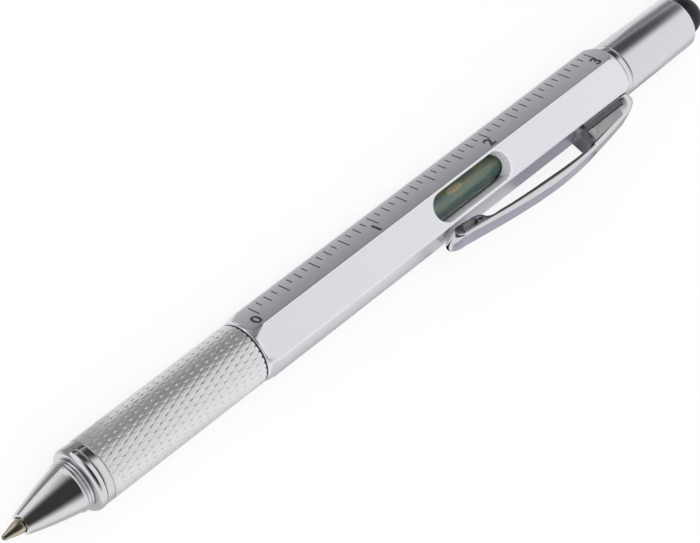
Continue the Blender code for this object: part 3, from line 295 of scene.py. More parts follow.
NUB_REAR = 4.1
NUB_FLOOR_COSINE = 0.85
NUB_SLOT_DEPTH = 0.6
NUB_SLOT_SHARES = ((0.060, 0.07), (0.066, 0.08), (0.056, 0.40), (0.047, 0.43))
CLIP_OUTER_SHARES = (
    (0.000, 0.330),
    (0.017, 0.450),
    (0.093, 0.570),
    (0.180, 0.690),
    (0.360, 0.906),
    (0.518, 1.000),
    (0.654, 0.950),
    (0.790, 0.810),
    (0.887, 0.674),
    (0.934, 0.595),
    (0.975, 0.445),
    (0.995, 0.300),
)
CLIP_FOOT_SHARES = (
    (1.000, 0.180),
    (1.000, 0.033),
    (0.9370, 0.033),
    (0.9365, 0.278),
    (0.900, 0.278),
    (0.860, 0.278),
    (0.820, 0.278),
    (0.780, 0.278),
    (0.734, 0.278),
)
CLIP_INNER_SHARES = (
    (0.733, 0.635),
    (0.713, 0.744),
    (0.650, 0.766),
    (0.559, 0.755),
    (0.457, 0.711),
    (0.349, 0.652),
    (0.229, 0.547),
)
CLIP_NUB_SHARES = (
    (0.170, 0.449),
    (0.154, 0.274),
    (0.138, 0.188),
    (0.099, 0.136),
    (0.065, 0.098),
    (0.025, 0.083),
    (0.003, 0.190),
)

# Stage and light. The floor's size and the lamp's place and size are in metres
FLOOR_DROP = 0.31
FLOOR_SIZE = 4.0
FLOOR_COLOUR = "#8A8A8A"
FLOOR_ROUGHNESS = 0.9
FLOOR_GLOW = 0.76
LAMP_PLACE = (-0.45, 0.2, 1.0)
LAMP_SIZE = (0.8, 0.6)
LAMP_POWER = 3.5
WORLD_LEVEL = 0.75
WHITE = "#FFFFFF"
COOL_WHITE = "#F1F2FF"
# Each flag: its level and the ramps that bound it, each a direction and the cosines of its start and end
FLAGS = (
    (0.05, (((-1, 0, 0), -0.34, -0.2), ((0.08, 0.04, 0.996), 0.31, 0.89))),
    (0.06, (((0.512, 0.78, 0.364), 0.82, 0.985),)),
)
# Cards on the floor: colour, corners, then the levels at two distances from the pen's plane
FLOOR_CARDS = {
    "card_by_rule": (WHITE, ((-62, 6), (58, 6), (58, 300), (-62, 300)), (16, 0.9), (32, 0.1)),
    "card_by_cap": (WHITE, ((58, 6), (250, 6), (300, 300), (58, 300)), (7, 1.0), (20, 0.25)),
    "card_by_nose": (WHITE, ((-100, 6), (-62, 6), (-62, 40), (-100, 25)), (6, 0.85), (13, 0.3)),
    "card_in_front": (WHITE, ((-130, -4), (-130, -90), (150, -90), (150, -4)), (9, 0.6), (45, 0.95)),
    "card_under_barrel": (WHITE, ((-40, -28), (0, -28), (0, -4), (-40, -4)), (10.5, 0.0), (13.2, 1.0)),
    "cool_card_beside_clip": (
        COOL_WHITE,
        ((0, -32), (42, -32), (42, -15), (0, -15)),
        (15, 0.6),
        (32, 0.45),
    ),
    "cool_card_behind_clip": (
        COOL_WHITE,
        ((20, -15), (38, -15), (38, -4), (20, -4)),
        (4, 0.1),
        (15, 0.28),
    ),
    "card_under_foot": (WHITE, ((38, -18), (58, -18), (58, -4), (38, -4)), (4, 0.4), (18, 0.5)),
}


# Colours and nodes


def linear(hex_colour):
    """An sRGB hex colour as linear red, green, blue and a full alpha."""
    channels = [int(hex_colour[i : i + 2], 16) / 255 for i in (1, 3, 5)]
    return (*(c / 12.92 if c <= 0.04045 else ((c + 0.055) / 1.055) ** 2.4 for c in channels), 1.0)


def per_mm(size):
    """The scale of a texture whose features are the given number of millimetres apart."""
    return 1 / (size * MM)


def add(tree, kind, inputs=None, **settings):
    """Adds a node with its settings, and gives each named or numbered input its link or its value."""
    made = tree.nodes.new(kind)
    for name, value in settings.items():
        setattr(made, name, value)
    for socket, source in (inputs or {}).items():
        if isinstance(source, bpy.types.NodeSocket):
            tree.links.new(source, made.inputs[socket])
        else:
            made.inputs[socket].default_value = source
    return made


def surface(name, colour, roughness, **sockets):
    """A new material, from its plain colour, its roughness and the values of its other sockets."""
    material = bpy.data.materials.new(name)
    material.use_nodes = True
    shader = material.node_tree.nodes["Principled BSDF"]
    shader.inputs["Base Color"].default_value = linear(colour)
    shader.inputs["Roughness"].default_value = roughness
    for socket, value in sockets.items():
        shader.inputs[socket.replace("_", " ")].default_value = value
    return material


def textured(material, kind, stretch=None, **sockets):
    """Lays a texture over a piece by its own coordinates in metres, scaled along each axis where asked."""
    tree = material.node_tree
    place = add(tree, "ShaderNodeTexCoord").outputs["Object"]
    if stretch:
        place = add(tree, "ShaderNodeMapping", {"Vector": place, "Scale": stretch}).outputs["Vector"]
    return add(tree, kind, {"Vector": place, **sockets})


def grained(material, texture, colours, roughness, depth=0):
    """Spreads a texture over a surface's colour, its roughness and, to a depth in mm, its relief."""
    tree = material.node_tree
    shader = tree.nodes["Principled BSDF"]
    value = next(output for output in texture.outputs if output.type == "VALUE")
    ends = [linear(colour) for colour in colours]
    tint = add(tree, "ShaderNodeMix", {0: value, **dict(zip(MIX_COLOURS, ends))}, data_type="RGBA")
    tree.links.new(tint.outputs[MIXED_COLOUR], shader.inputs["Base Color"])
    least, most = roughness
    spread = add(tree, "ShaderNodeMapRange", {"Value": value, "To Min": least, "To Max": most})
    tree.links.new(spread.outputs["Result"], shader.inputs["Roughness"])
    if depth:
        relief = add(tree, "ShaderNodeBump", {"Height": value, "Distance": depth * MM, "Strength": 1.0})
        tree.links.new(relief.outputs["Normal"], shader.inputs["Normal"])
    return material


# Materials


def satin_anodised_aluminium():
    """Extruded aluminium, bead blasted and anodised silver: an even satin sheen with a very fine grain.
    The blasting's grain is about 0.05 mm and is drawn at 0.16 mm, so that it shows at all."""
    material = surface("satin_anodised_aluminium", "#EAEAED", 0.32, Metallic=1.0)
    grain = textured(material, "ShaderNodeTexNoise", Scale=per_mm(0.16), Detail=3.0)
    return grained(material, grain, ("#E3E3EA", "#EAEAF0"), roughness=(0.3, 0.36), depth=0.002)


def turned_anodised_aluminium():
    """Turned and anodised aluminium: fine rings round the axis catch the light as faint lines.
    The tool's feed is about 0.05 mm and is drawn at 0.25 mm."""
    material = surface("turned_anodised_aluminium", "#DCDCDF", 0.22, Metallic=1.0)
    scale = per_mm(0.25) / WAVE_BANDS
    rings = textured(material, "ShaderNodeTexWave", Scale=scale, Distortion=0.4, Detail=2.0)
    return grained(material, rings, ("#D2D2D8", "#DADAE0"), roughness=(0.2, 0.25), depth=0.0006)


def milled_aluminium_painted_bright():
    """Walls left by the end mill and anodised, almost without gloss, with upright marks. Their near-white
    colour, without metal, is painted light for the light that the walls catch in the level's recess.
    The marks are about 0.1 mm apart and are drawn at 0.3 mm."""
    material = surface("milled_aluminium_painted_bright", "#F0F0F4", 0.6)
    marks = textured(material, "ShaderNodeTexNoise", stretch=(1.0, 1.0, 0.1), Scale=per_mm(0.3), Detail=1.0)
    return grained(material, marks, ("#E2E2E8", "#FFFFFF"), roughness=(0.5, 0.65), depth=0.006)


def bright_turned_aluminium():
    """The grip's plain band, turned bright, with the faint rings of the tool."""
    material = surface("bright_turned_aluminium", "#D4D4D6", 0.1, Metallic=1.0)
    rings = textured(material, "ShaderNodeTexWave", Scale=per_mm(0.25) / WAVE_BANDS, Distortion=0.4)
    return grained(material, rings, ("#CECED0", "#DADADB"), roughness=(0.08, 0.13), depth=0.0003)


def zinc_with_painted_shade():
    """Die-cast zinc, nickel plated, duller than the bent clip. Its darker grey is painted shade, standing in
    for the shade under the clip's foot.
    """
    material = surface("zinc_with_painted_shade", "#A4A4A9", 0.28, Metallic=1.0)
    skin = textured(material, "ShaderNodeTexNoise", Scale=per_mm(0.6), Detail=3.0)
    return grained(material, skin, ("#96969C", "#B0B0B4"), roughness=(0.24, 0.34), depth=0.002)


def knurled_anodised_aluminium():
    """Rolled knurling, anodised: a pale metal, dulled a little by the rolling, with a fine grain."""
    material = surface("knurled_anodised_aluminium", "#E2E3E6", 0.3, Metallic=0.88)
    grain = textured(material, "ShaderNodeTexNoise", Scale=per_mm(0.25), Detail=2.0)
    return grained(material, grain, ("#DEDFE2", "#ECECEE"), roughness=(0.34, 0.42), depth=0.006)


def chromed_brass():
    """Polished chrome plate: a mirror with the faintest haze, where fingers have been."""
    material = surface("chromed_brass", "#D6D6D9", 0.07, Metallic=1.0)
    haze = textured(material, "ShaderNodeTexNoise", Scale=per_mm(3.0), Detail=4.0)
    return grained(material, haze, ("#D2D2D6", "#DADADC"), roughness=(0.05, 0.11))


def polished_spring_steel():
    """Bent and polished spring steel, nickel plated: bright, with slight drawn lines along its length."""
    material = surface("polished_spring_steel", "#D2D2D6", 0.1, Metallic=1.0)
    lines = textured(material, "ShaderNodeTexNoise", stretch=(0.05, 1.0, 1.0), Scale=per_mm(0.3), Detail=3.0)
    return grained(material, lines, ("#CECED3", "#D8D8DA"), roughness=(0.08, 0.14), depth=0.0004)


def recess_steel_painted_shade():
    """The floors of the nub's recesses: spring steel, dull, with a fine grain, and a darker grey that is
    painted shade for the shade in the recesses.
    """
    material = surface("recess_steel_painted_shade", "#8E8E8B", 0.38, Metallic=1.0)
    grain = textured(material, "ShaderNodeTexNoise", Scale=per_mm(0.3), Detail=2.0)
    return grained(material, grain, ("#7E7E7B", "#A2A29F"), roughness=(0.34, 0.44), depth=0.002)


def ground_steel(name="ground_steel"):
    """Hardened steel, ground: grey, with short scratches round the piece."""
    material = surface(name, "#9A9A9E", 0.3, Metallic=1.0)
    lines = textured(material, "ShaderNodeTexNoise", stretch=(4.0, 1.0, 1.0), Scale=per_mm(0.5), Detail=3.0)
    return grained(material, lines, ("#8C8C91", "#A6A6AA"), roughness=(0.24, 0.38), depth=0.0015)


def turned_brass():
    """Free-cutting nickel brass, turned: warm grey-yellow, with rings from the tool."""
    material = surface("turned_brass", "#BDB5A0", 0.16, Metallic=1.0)
    rings = textured(material, "ShaderNodeTexWave", Scale=per_mm(0.2) / WAVE_BANDS, Distortion=0.3)
    return grained(material, rings, ("#B4AB94", "#CAC3B0"), roughness=(0.12, 0.2), depth=0.0008)


def tungsten_carbide():
    """The sintered and lapped ball: dark grey and almost a mirror."""
    material = surface("tungsten_carbide", "#86868A", 0.12, Metallic=1.0)
    grain = textured(material, "ShaderNodeTexNoise", Scale=per_mm(0.1))
    return grained(material, grain, ("#808084", "#8E8E92"), roughness=(0.1, 0.16))


def silicone_rubber():
    """Moulded conductive silicone: almost black, soft highlight, a little dust."""
    material = surface("silicone_rubber", "#17161E", 0.42, IOR=1.33)
    dust = textured(material, "ShaderNodeTexNoise", Scale=per_mm(0.5), Detail=5.0)
    return grained(material, dust, ("#14131B", "#201F28"), roughness=(0.36, 0.5), depth=0.002)


def moulded_plastic(name, colours, roughness, ior=1.53):
    """Injection moulded plastic: an even colour with a slightly rippled skin."""
    material = surface(name, colours[0], roughness, IOR=ior)
    ripple = textured(material, "ShaderNodeTexNoise", Scale=per_mm(0.8), Detail=2.0)
    return grained(material, ripple, colours, roughness=(roughness, roughness + 0.1), depth=0.001)


def clear_acrylic():
    """Injection moulded clear acrylic, polished: it shows mainly by its rims and by its gloss."""
    material = surface("clear_acrylic", "#F4F8F6", 0.08, IOR=1.49, Transmission_Weight=1.0)
    haze = textured(material, "ShaderNodeTexNoise", Scale=per_mm(1.5))
    return grained(material, haze, ("#F2F7F4", "#F8FBFA"), roughness=(0.06, 0.1))


def level_spirit():
    """Dyed mineral spirit, green. Its mottles and its shift to blue away from the rule are painted
    reflection, standing in for what shows through and mirrors in it.
    """
    material = surface("level_spirit", "#6A9C88", 0.05, IOR=1.4, Transmission_Weight=0.3)
    tree = material.node_tree
    painted_streaks = textured(material, "ShaderNodeTexNoise", stretch=(0.45, 1.0, 1.0), Scale=per_mm(1.3), Detail=2.0)
    contrast = {"Value": painted_streaks.outputs[0], "From Min": 0.3, "From Max": 0.65}
    patches = add(tree, "ShaderNodeMapRange", contrast)
    place = add(tree, "ShaderNodeTexCoord").outputs["Object"]
    across = add(tree, "ShaderNodeSeparateXYZ", {0: place}).outputs["Y"]
    blue, green = (side * LIQUID_RADIUS * MM for side in SPIRIT_BLUE_TO_GREEN)
    sides = add(tree, "ShaderNodeMapRange", {"Value": across, "From Min": blue, "From Max": green})
    both = {0: patches.outputs["Result"], 1: sides.outputs["Result"]}
    painted_tint = add(tree, "ShaderNodeMath", both, operation="MULTIPLY")
    return grained(material, painted_tint, ("#44888C", "#B0AC60"), roughness=(0.03, 0.08))


def trapped_air():
    """Air in the spirit, pressed against the vial. Its warm pale colour and its shimmer are a painted
    reflection: the air itself has no colour.
    """
    material = surface("trapped_air", "#E8B98A", 0.25, IOR=1.1, Transmission_Weight=0.2)
    shimmer = textured(material, "ShaderNodeTexNoise", Scale=per_mm(1.2))
    return grained(material, shimmer, ("#C8935C", "#FFE8CC"), roughness=(0.2, 0.3))


def etched_mark():
    """Laser-etched marks: the anodised skin burnt to a flat dark grey."""
    material = surface("etched_mark", "#3A3A3D", 0.7, IOR=1.5)
    burn = textured(material, "ShaderNodeTexNoise", Scale=per_mm(0.15), Detail=2.0)
    return grained(material, burn, ("#333336", "#4A4A4E"), roughness=(0.62, 0.8))


# Meshes


def metres(x, y, z):
    """A point in metres from its coordinates in mm."""
    return Vector((x * MM, y * MM, z * MM))


def placed(name, data):
    """A new object of the scene from its mesh, curve, lamp or camera."""
    made = bpy.data.objects.new(name, data)
    bpy.context.scene.collection.objects.link(made)
    return made


def shade_round(mesh):
    """Shades a mesh round, apart from its sharp edges."""
    mesh.shade_smooth()
    mesh.set_sharp_from_angle(angle=SHARP_ANGLE)


def finished(name, work, material):
    """A piece from a bmesh in metres, with its round faces shaded round."""
    bmesh.ops.recalc_face_normals(work, faces=work.faces)
    mesh = bpy.data.meshes.new(name)
    work.to_mesh(mesh)
    work.free()
    mesh.materials.append(material)
    shade_round(mesh)
    return placed(name, mesh)


def final_mesh(piece):
    """The mesh that a piece has after its modifiers, or that a curve or a text gives."""
    bpy.context.view_layer.update()
    evaluated = piece.evaluated_get(bpy.context.evaluated_depsgraph_get())
    return bpy.data.meshes.new_from_object(evaluated)


def mesh_of_curve(curve):
    """The mesh of a curve or a text."""
    guide = placed(curve.name, curve)
    mesh = final_mesh(guide)
    bpy.data.objects.remove(guide)
    return mesh


def cut(piece, tool):
    """Takes the tool's solid off the piece, and the tool away."""
    modifier = piece.modifiers.new("cut", "BOOLEAN")
    modifier.operation = "DIFFERENCE"
    modifier.object = tool
    modifier.solver = "MANIFOLD"
    mesh = final_mesh(piece)
    mesh.name = piece.name
    piece.modifiers.clear()
    piece.data = mesh
    shade_round(mesh)
    bpy.data.objects.remove(tool)


def evenly_shaded(piece):
    """Lets the large faces of a piece lead its shading, so that its narrow roundings don't darken them."""
    even = piece.modifiers.new("even_shading", "WEIGHTED_NORMAL")
    even.keep_sharp = True
    return piece


def also(piece, material, chosen):
    """Gives a second material to the faces that a function chooses by their middle in mm and normal."""
    piece.data.materials.append(material)
    for face in piece.data.polygons:
        if chosen(Vector(face.center) / MM, face.normal):
            face.material_index = 1
    return piece


def dressed(piece, body, node=None):
    """Sets a piece on its body, in place of its solid."""
    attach(piece, body)
    if node:
        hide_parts(node)
    return piece


def rounded(outline, radius, closed=True):
    """The outline with each corner turned to a small curve."""
    count = len(outline)
    points = []
    for i, corner in enumerate(outline):
        ends = (not closed) and i in (0, count - 1)
        if ends or corner[1] == 0:
            points.append(corner)
            continue
        here = Vector(corner)
        before = Vector(outline[i - 1])
        after = Vector(outline[(i + 1) % count])
        start = here + (before - here) * min(radius / (before - here).length, CORNER_SHARE)
        end = here + (after - here) * min(radius / (after - here).length, CORNER_SHARE)
        for step in range(EDGE_STEPS + 1):
            share = step / EDGE_STEPS
            point = start.lerp(here, share).lerp(here.lerp(end, share), share)
            points.append((point.x, point.y))
    return points


def revolved(name, outline, material, columns=COLUMNS, radius_at=None):
    """Turns an outline of (place along the pen, radius) about the pen's axis.
    radius_at may change the radius by the point's place, its radius and its angle."""
    work = bmesh.new()
    rows = []
    for x, radius in outline:
        if radius == 0:
            rows.append([work.verts.new(metres(x, 0, AXIS_HEIGHT))] * columns)
            continue
        row = []
        for column in range(columns):
            angle = math.tau * column / columns
            r = radius_at(x, radius, angle) if radius_at else radius
            row.append(work.verts.new(metres(x, r * math.cos(angle), AXIS_HEIGHT + r * math.sin(angle))))
        rows.append(row)
    pairs = list(zip(rows, rows[1:]))
    if outline[0][1] > 0 and outline[-1][1] > 0:
        pairs.append((rows[-1], rows[0]))
    for lower, upper in pairs:
        for column in range(columns):
            following = (column + 1) % columns
            corners = [lower[column], lower[following], upper[following], upper[column]]
            corners = [c for i, c in enumerate(corners) if c is not corners[i - 1]]
            if len(corners) > 2:
                work.faces.new(corners)
    return finished(name, work, material)


def skin_of(node, name, material):
    """A node's own solid, welded, so that its round faces shade round."""
    work = bmesh.new()
    work.from_mesh(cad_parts[node].data)
    for layer in list(work.loops.layers.uv):
        work.loops.layers.uv.remove(layer)
    bmesh.ops.remove_doubles(work, verts=work.verts, dist=WELD_DISTANCE)
    bmesh.ops.dissolve_limit(work, angle_limit=FLAT_ANGLE, verts=work.verts, edges=work.edges)
    return evenly_shaded(finished(name, work, material))


# Barrel and rule


def in_window(middle, normal):
    """Whether a face of the barrel is a wall of the level's window."""
    beside = abs(middle.x - WINDOW_CENTRE) < WINDOW_REACH and abs(middle.y) < WINDOW_REACH_ACROSS
    return beside and middle.z > AXIS_HEIGHT and normal.z < WINDOW_WALL_COSINE


def on_grip_band(middle, normal):
    """Whether a face of the grip is in front of its knurl."""
    return middle.x < KNURL_GROOVE_REAR


def rule_point(x, across, height):
    """A point of the rule's face, across it towards the outer edge and proud of it."""
    spin = RULE_FACE_ANGLE
    outward = Vector((0, math.cos(spin), math.sin(spin)))
    outer = Vector((0, math.sin(spin), -math.cos(spin)))
    return (Vector((x, 0, AXIS_HEIGHT)) + outward * (FLAT_RADIUS + height) + outer * across) * MM


def add_block(work, low, high):
    """A block on the rule's face between two corners of (along, across, proud)."""
    corners = [
        work.verts.new(rule_point((low, high)[i][0], (low, high)[j][1], (low, high)[k][2]))
        for i in (0, 1)
        for j in (0, 1)
        for k in (0, 1)
    ]
    for ring in ((0, 1, 3, 2), (4, 6, 7, 5), (0, 4, 5, 1), (2, 3, 7, 6), (0, 2, 6, 4), (1, 5, 7, 3)):
        work.faces.new([corners[i] for i in ring])


def make_ticks(material):
    """The rule's ticks, one to each sixteenth of an inch."""
    work = bmesh.new()
    for tick in range(RULE_INCHES * RULE_DIVISIONS + 1):
        middle = RULE_ZERO + INCH * tick / RULE_DIVISIONS
        length = next(size for step, size in TICK_LENGTHS if tick % step == 0)
        low = (middle - TICK_WIDTH / 2, TICK_OUTER_EDGE - length, -MARK_SUNK)
        high = (middle + TICK_WIDTH / 2, TICK_OUTER_EDGE, MARK_PROUD)
        add_block(work, low, high)
    return finished("rule_ticks", work, material)


def make_digit(text, place, material):
    """A digit that reads along the pen, with its top towards the rule's outer edge."""
    curve = bpy.data.curves.new(f"digit_{text}", "FONT")
    curve.body = text
    curve.align_x = "CENTER"
    curve.size = DIGIT_HEIGHT / FONT_CAP_SHARE
    curve.offset = DIGIT_BOLDNESS
    curve.extrude = (MARK_PROUD + MARK_SUNK) / 2
    work = bmesh.new()
    work.from_mesh(mesh_of_curve(curve))
    bmesh.ops.remove_doubles(work, verts=work.verts, dist=WELD_DISTANCE)
    foot = DIGIT_MIDDLE - DIGIT_HEIGHT / 2
    for vertex in work.verts:
        x, y, z = vertex.co
        vertex.co = rule_point(RULE_ZERO + place + x, foot + y, z + (MARK_PROUD - MARK_SUNK) / 2)
    return finished(f"rule_digit_{text}", work, material)


# Grip


def knurl_radius(x, radius, angle):
    """Long diamonds between two families of faint slanted grooves, with a short dent at each crossing."""
    at_end = x == GRIP_REAR and radius > GRIP_SEAT_RADIUS
    if not at_end and not (KNURL_GROOVE_REAR < x < KNURL_REAR and radius == GRIP_RADIUS):
        return radius
    along = (x - KNURL_GROOVE_REAR) / KNURL_AXIAL_PITCH
    around = angle / math.tau * KNURL_ROUND_COUNT
    grooves = []
    for side in (1, -1):
        distance = abs((along + side * around + 0.5) % 1 - 0.5)
        grooves.append(max(1 - (distance / KNURL_FLANK_SHARE) ** 2, 0))
    if at_end:
        return radius - KNURL_END_TOOTH * max(grooves)
    crossing = (grooves[0] * grooves[1]) ** 2
    return radius - KNURL_GROOVE_DEPTH * max(grooves) - KNURL_CROSSING_DEPTH * crossing


def make_grip(material):
    """The knurled tube with its plain band in front, and its bore."""
    rows = math.ceil((KNURL_REAR - KNURL_GROOVE_REAR) / KNURL_AXIAL_PITCH * KNURL_ROWS_EACH)
    knurl = [
        (KNURL_GROOVE_REAR + (KNURL_REAR - KNURL_GROOVE_REAR) * i / rows, GRIP_RADIUS)
        for i in range(rows + 1)
    ]
    band = rounded(
        [
            (GRIP_FRONT, GRIP_BORE_RADIUS),
            (GRIP_FRONT, GRIP_RADIUS),
            (KNURL_FRONT, GRIP_RADIUS),
            (KNURL_FRONT, KNURL_GROOVE_RADIUS),
            (KNURL_GROOVE_REAR, KNURL_GROOVE_RADIUS),
        ],
        GRIP_EDGE,
        closed=False,
    )
    bore = [
        (GRIP_REAR, GRIP_RADIUS - KNURL_END_DROP),
        (GRIP_REAR, GRIP_SEAT_RADIUS),
        (GRIP_SEAT_FRONT, GRIP_SEAT_RADIUS),
        (GRIP_SEAT_FRONT, GRIP_BORE_RADIUS),
    ]
    columns = KNURL_ROUND_COUNT * KNURL_COLUMNS_EACH
    return revolved("knurled_grip", [*band, *knurl, *bore], material, columns, knurl_radius)


# Nose and writing tip


def nose_cone():
    """The outline of the cone, with its slight bulge."""
    points = []
    for i in range(NOSE_CONE_STEPS + 1):
        share = i / NOSE_CONE_STEPS
        radius = NOSE_CONE_FRONT_RADIUS + share * (NOSE_CONE_REAR_RADIUS - NOSE_CONE_FRONT_RADIUS)
        bulge = NOSE_CONE_BULGE * math.sin(math.pi * share)
        points.append((NOSE_FRONT + share * NOSE_CONE_LENGTH, radius + bulge))
    return points


def nose_ridges():
    """The outline of the fine ridges behind the cone."""
    points = []
    for ridge in range(RIDGE_COUNT):
        for i in range(1, RIDGE_STEPS + 1):
            share = i / RIDGE_STEPS
            swell = abs(math.sin(math.pi * share)) ** RIDGE_SWELL
            radius = RIDGE_ROOT + (RIDGE_RADIUS - RIDGE_ROOT) * swell
            points.append((NOSE_CONE_REAR + (ridge + share) * RIDGE_PITCH, radius))
    return points


def nose_flange():
    """The outline of the flange's rounded front."""
    points = []
    for i in range(FLANGE_STEPS + 1):
        angle = math.pi * (1 - i / FLANGE_STEPS / 2)
        x = FLANGE_FRONT + FLANGE_ROUND * (1 + math.cos(angle))
        points.append((x, FLANGE_FRONT_RADIUS + FLANGE_ROUND * math.sin(angle)))
    return points


def make_nose(material):
    """The polished nose, its spigot in the grip and its bore for the refill."""
    rear = rounded(
        [
            (FLANGE_FRONT + FLANGE_ROUND, FLANGE_RADIUS),
            (FLANGE_REAR, FLANGE_RADIUS),
            (FLANGE_REAR, SPIGOT_RADIUS),
            (SPIGOT_REAR, SPIGOT_RADIUS),
            (SPIGOT_REAR, NOSE_BORE_RADIUS),
            (NOSE_CONE_REAR, NOSE_BORE_RADIUS),
            (NOSE_TIP_WALL_REAR, NOSE_HOLE_RADIUS),
        ],
        NOSE_EDGE,
        closed=False,
    )
    front = [(NOSE_FRONT, NOSE_HOLE_RADIUS), *nose_cone(), *nose_ridges(), *nose_flange()]
    return revolved("polished_nose", [*front, *rear[1:]], material)


def arc(centre, radius, start, end, steps):
    """Points of an arc about a centre on the axis, with angles from the pen's rear."""
    angles = [start + (end - start) * i / steps for i in range(steps + 1)]
    return [(centre + radius * math.cos(a), radius * math.sin(a)) for a in angles]


def make_nib(material):
    """The turned tip, with the seat of its ball."""
    seat = arc(BALL_CENTRE, BALL_SEAT_RADIUS, math.pi - BALL_SEAT_ANGLE, 0, SEAT_STEPS)
    lip_x, lip_radius = seat[0]
    outline = [
        (seat[-1][0], 0.0),
        *reversed(seat[:-1]),
        (lip_x, lip_radius + NIB_LIP_WALL),
        *NIB_OUTLINE,
        (NIB_OUTLINE[-1][0], 0.0),
    ]
    return revolved("turned_nib", outline, material)


def make_ball(material):
    """The ball that writes."""
    points = arc(BALL_CENTRE, BALL_RADIUS, math.pi, 0, BALL_STEPS)
    outline = [(points[0][0], 0.0), *points[1:-1], (points[-1][0], 0.0)]
    return revolved("carbide_ball", outline, material)


# Cap end


def thread_radius(x, radius, angle):
    """A helical V thread cut in the holder's spigot."""
    if not (THREAD_FRONT < x < THREAD_REAR and radius == THREAD_RADIUS):
        return radius
    turn = (x / THREAD_PITCH - angle / math.tau) % 1
    return radius - THREAD_DEPTH * (1 - abs(2 * turn - 1))


def socket_bar(material):
    """A hexagonal bar of the socket's size, which cuts it."""
    corner = math.pi / SOCKET_SIDES
    radius = SOCKET_ACROSS_FLATS / 2 / math.cos(corner) * MM
    rear = THREAD_REAR + SOCKET_OVERRUN
    middle = metres((rear + SOCKET_FRONT) / 2, 0, AXIS_HEIGHT)
    along = Matrix.Translation(middle) @ Matrix.Rotation(math.pi / 2, 4, "Y")
    work = bmesh.new()
    bmesh.ops.create_cone(
        work,
        cap_ends=True,
        segments=SOCKET_SIDES,
        radius1=radius,
        radius2=radius,
        depth=(rear - SOCKET_FRONT) * MM,
        matrix=along @ Matrix.Rotation(corner, 4, "Z"),
    )
    return finished("socket_bar", work, material)


def make_holder(material):
    """The polished ring with its tenon in the barrel, its thread for the cap and its socket for the bit."""
    length = THREAD_REAR - THREAD_FRONT
    steps = int(length / THREAD_PITCH * THREAD_STEPS_EACH)
    thread = [(THREAD_FRONT + length * i / steps, THREAD_RADIUS) for i in range(steps + 1)]
    body = rounded(RING_OUTLINE, RING_EDGE, closed=False)
    holder = revolved("bit_socket", [*body, *thread, (THREAD_REAR, 0.0)], material, radius_at=thread_radius)
    cut(holder, socket_bar(material))
    return holder


def make_stylus(material):
    """The hollow rubber dome, with the flange that holds it in the cap."""
    inner = STYLUS_RADIUS - STYLUS_WALL
    dome = arc(STYLUS_CENTRE, STYLUS_RADIUS, math.pi / 2, 0, STYLUS_STEPS)
    hollow = arc(STYLUS_CENTRE, inner, 0, math.pi / 2, STYLUS_STEPS)
    outline = [
        (STYLUS_CENTRE + inner, 0.0),
        *hollow[1:],
        (STYLUS_FLANGE_FRONT, inner),
        (STYLUS_FLANGE_FRONT, STYLUS_FLANGE_RADIUS),
        (STYLUS_BASE, STYLUS_FLANGE_RADIUS),
        (STYLUS_BASE, STYLUS_RADIUS),
        *dome[:-1],
        (STYLUS_CENTRE + STYLUS_RADIUS, 0.0),
    ]
    return revolved("rubber_dome", outline, material)


# Level


def make_liquid(material):
    """The spirit in the vial."""
    side = [(LIQUID_FRONT, LIQUID_RADIUS), (LIQUID_REAR, LIQUID_RADIUS)]
    outline = [(LIQUID_FRONT, 0.0), *side, (LIQUID_REAR, 0.0)]
    return revolved("green_spirit", rounded(outline, LIQUID_EDGE, closed=False), material)


def make_bubble(material):
    """The long bubble, pressed against the top of the vial's bore and rolled towards the rule."""
    outline = []
    for step in range(BUBBLE_STEPS + 1):
        angle = math.pi * (1 - step / BUBBLE_STEPS)
        radius = BUBBLE_RADIUS * math.sin(angle) ** BUBBLE_FULLNESS if 0 < step < BUBBLE_STEPS else 0.0
        outline.append((BUBBLE_CENTRE + BUBBLE_LENGTH / 2 * math.cos(angle), radius))
    bubble = revolved("air_bubble", outline, material, columns=COLUMNS // 2)
    for vertex in bubble.data.vertices:
        place = Vector((0, vertex.co.y, vertex.co.z + (BUBBLE_HEIGHT - AXIS_HEIGHT) * MM))
        place *= min(1, BUBBLE_REACH * MM / max(place.length, WELD_DISTANCE))
        place.rotate(Matrix.Rotation(BUBBLE_ROLL, 3, "X"))
        vertex.co.yz = (place.y, place.z + AXIS_HEIGHT * MM)
    return bubble


# Clip


def clip_points(shares):
    """Places along the pen and heights over the clip's flat, in mm, from shares of the clip's size."""
    return [(CLIP_TIP + along * CLIP_LENGTH, up * CLIP_HEIGHT) for along, up in shares]


def clip_directions():
    """The directions out of the clip's flat and across it."""
    outward = Vector((0, math.cos(CLIP_FACE_ANGLE), math.sin(CLIP_FACE_ANGLE)))
    return outward, Vector((1, 0, 0)).cross(outward)


def clip_place(x, height, across):
    """A point of the clip: its place along the pen, its height over its flat and its place across."""
    outward, sideways = clip_directions()
    return (Vector((x, 0, AXIS_HEIGHT)) + outward * (FLAT_RADIUS + height) + sideways * across) * MM


def in_nub_recess(middle, normal):
    """Whether a face of the clip is the floor of a recess in its nub, which takes the painted shade."""
    sideways = clip_directions()[1]
    inside = abs(middle.dot(sideways) - AXIS_HEIGHT * sideways.z) < CLIP_WIDTH / 2 - NUB_RIM
    return inside and middle.x < NUB_REAR and abs(normal.dot(sideways)) > NUB_FLOOR_COSINE


def crown_foot(arm):
    """Curves the sides of the clip's foot inwards with the height."""
    outward, sideways = clip_directions()
    for vertex in arm.data.vertices:
        place = vertex.co / MM - Vector((0, 0, AXIS_HEIGHT))
        share = min(max((place.x - CLIP_CROWN_FRONT) / CLIP_CROWN_FADE, 0), 1)
        height = place.dot(outward) - FLAT_RADIUS
        vertex.co -= sideways * place.dot(sideways) * share * CLIP_CROWN * height**2 * MM


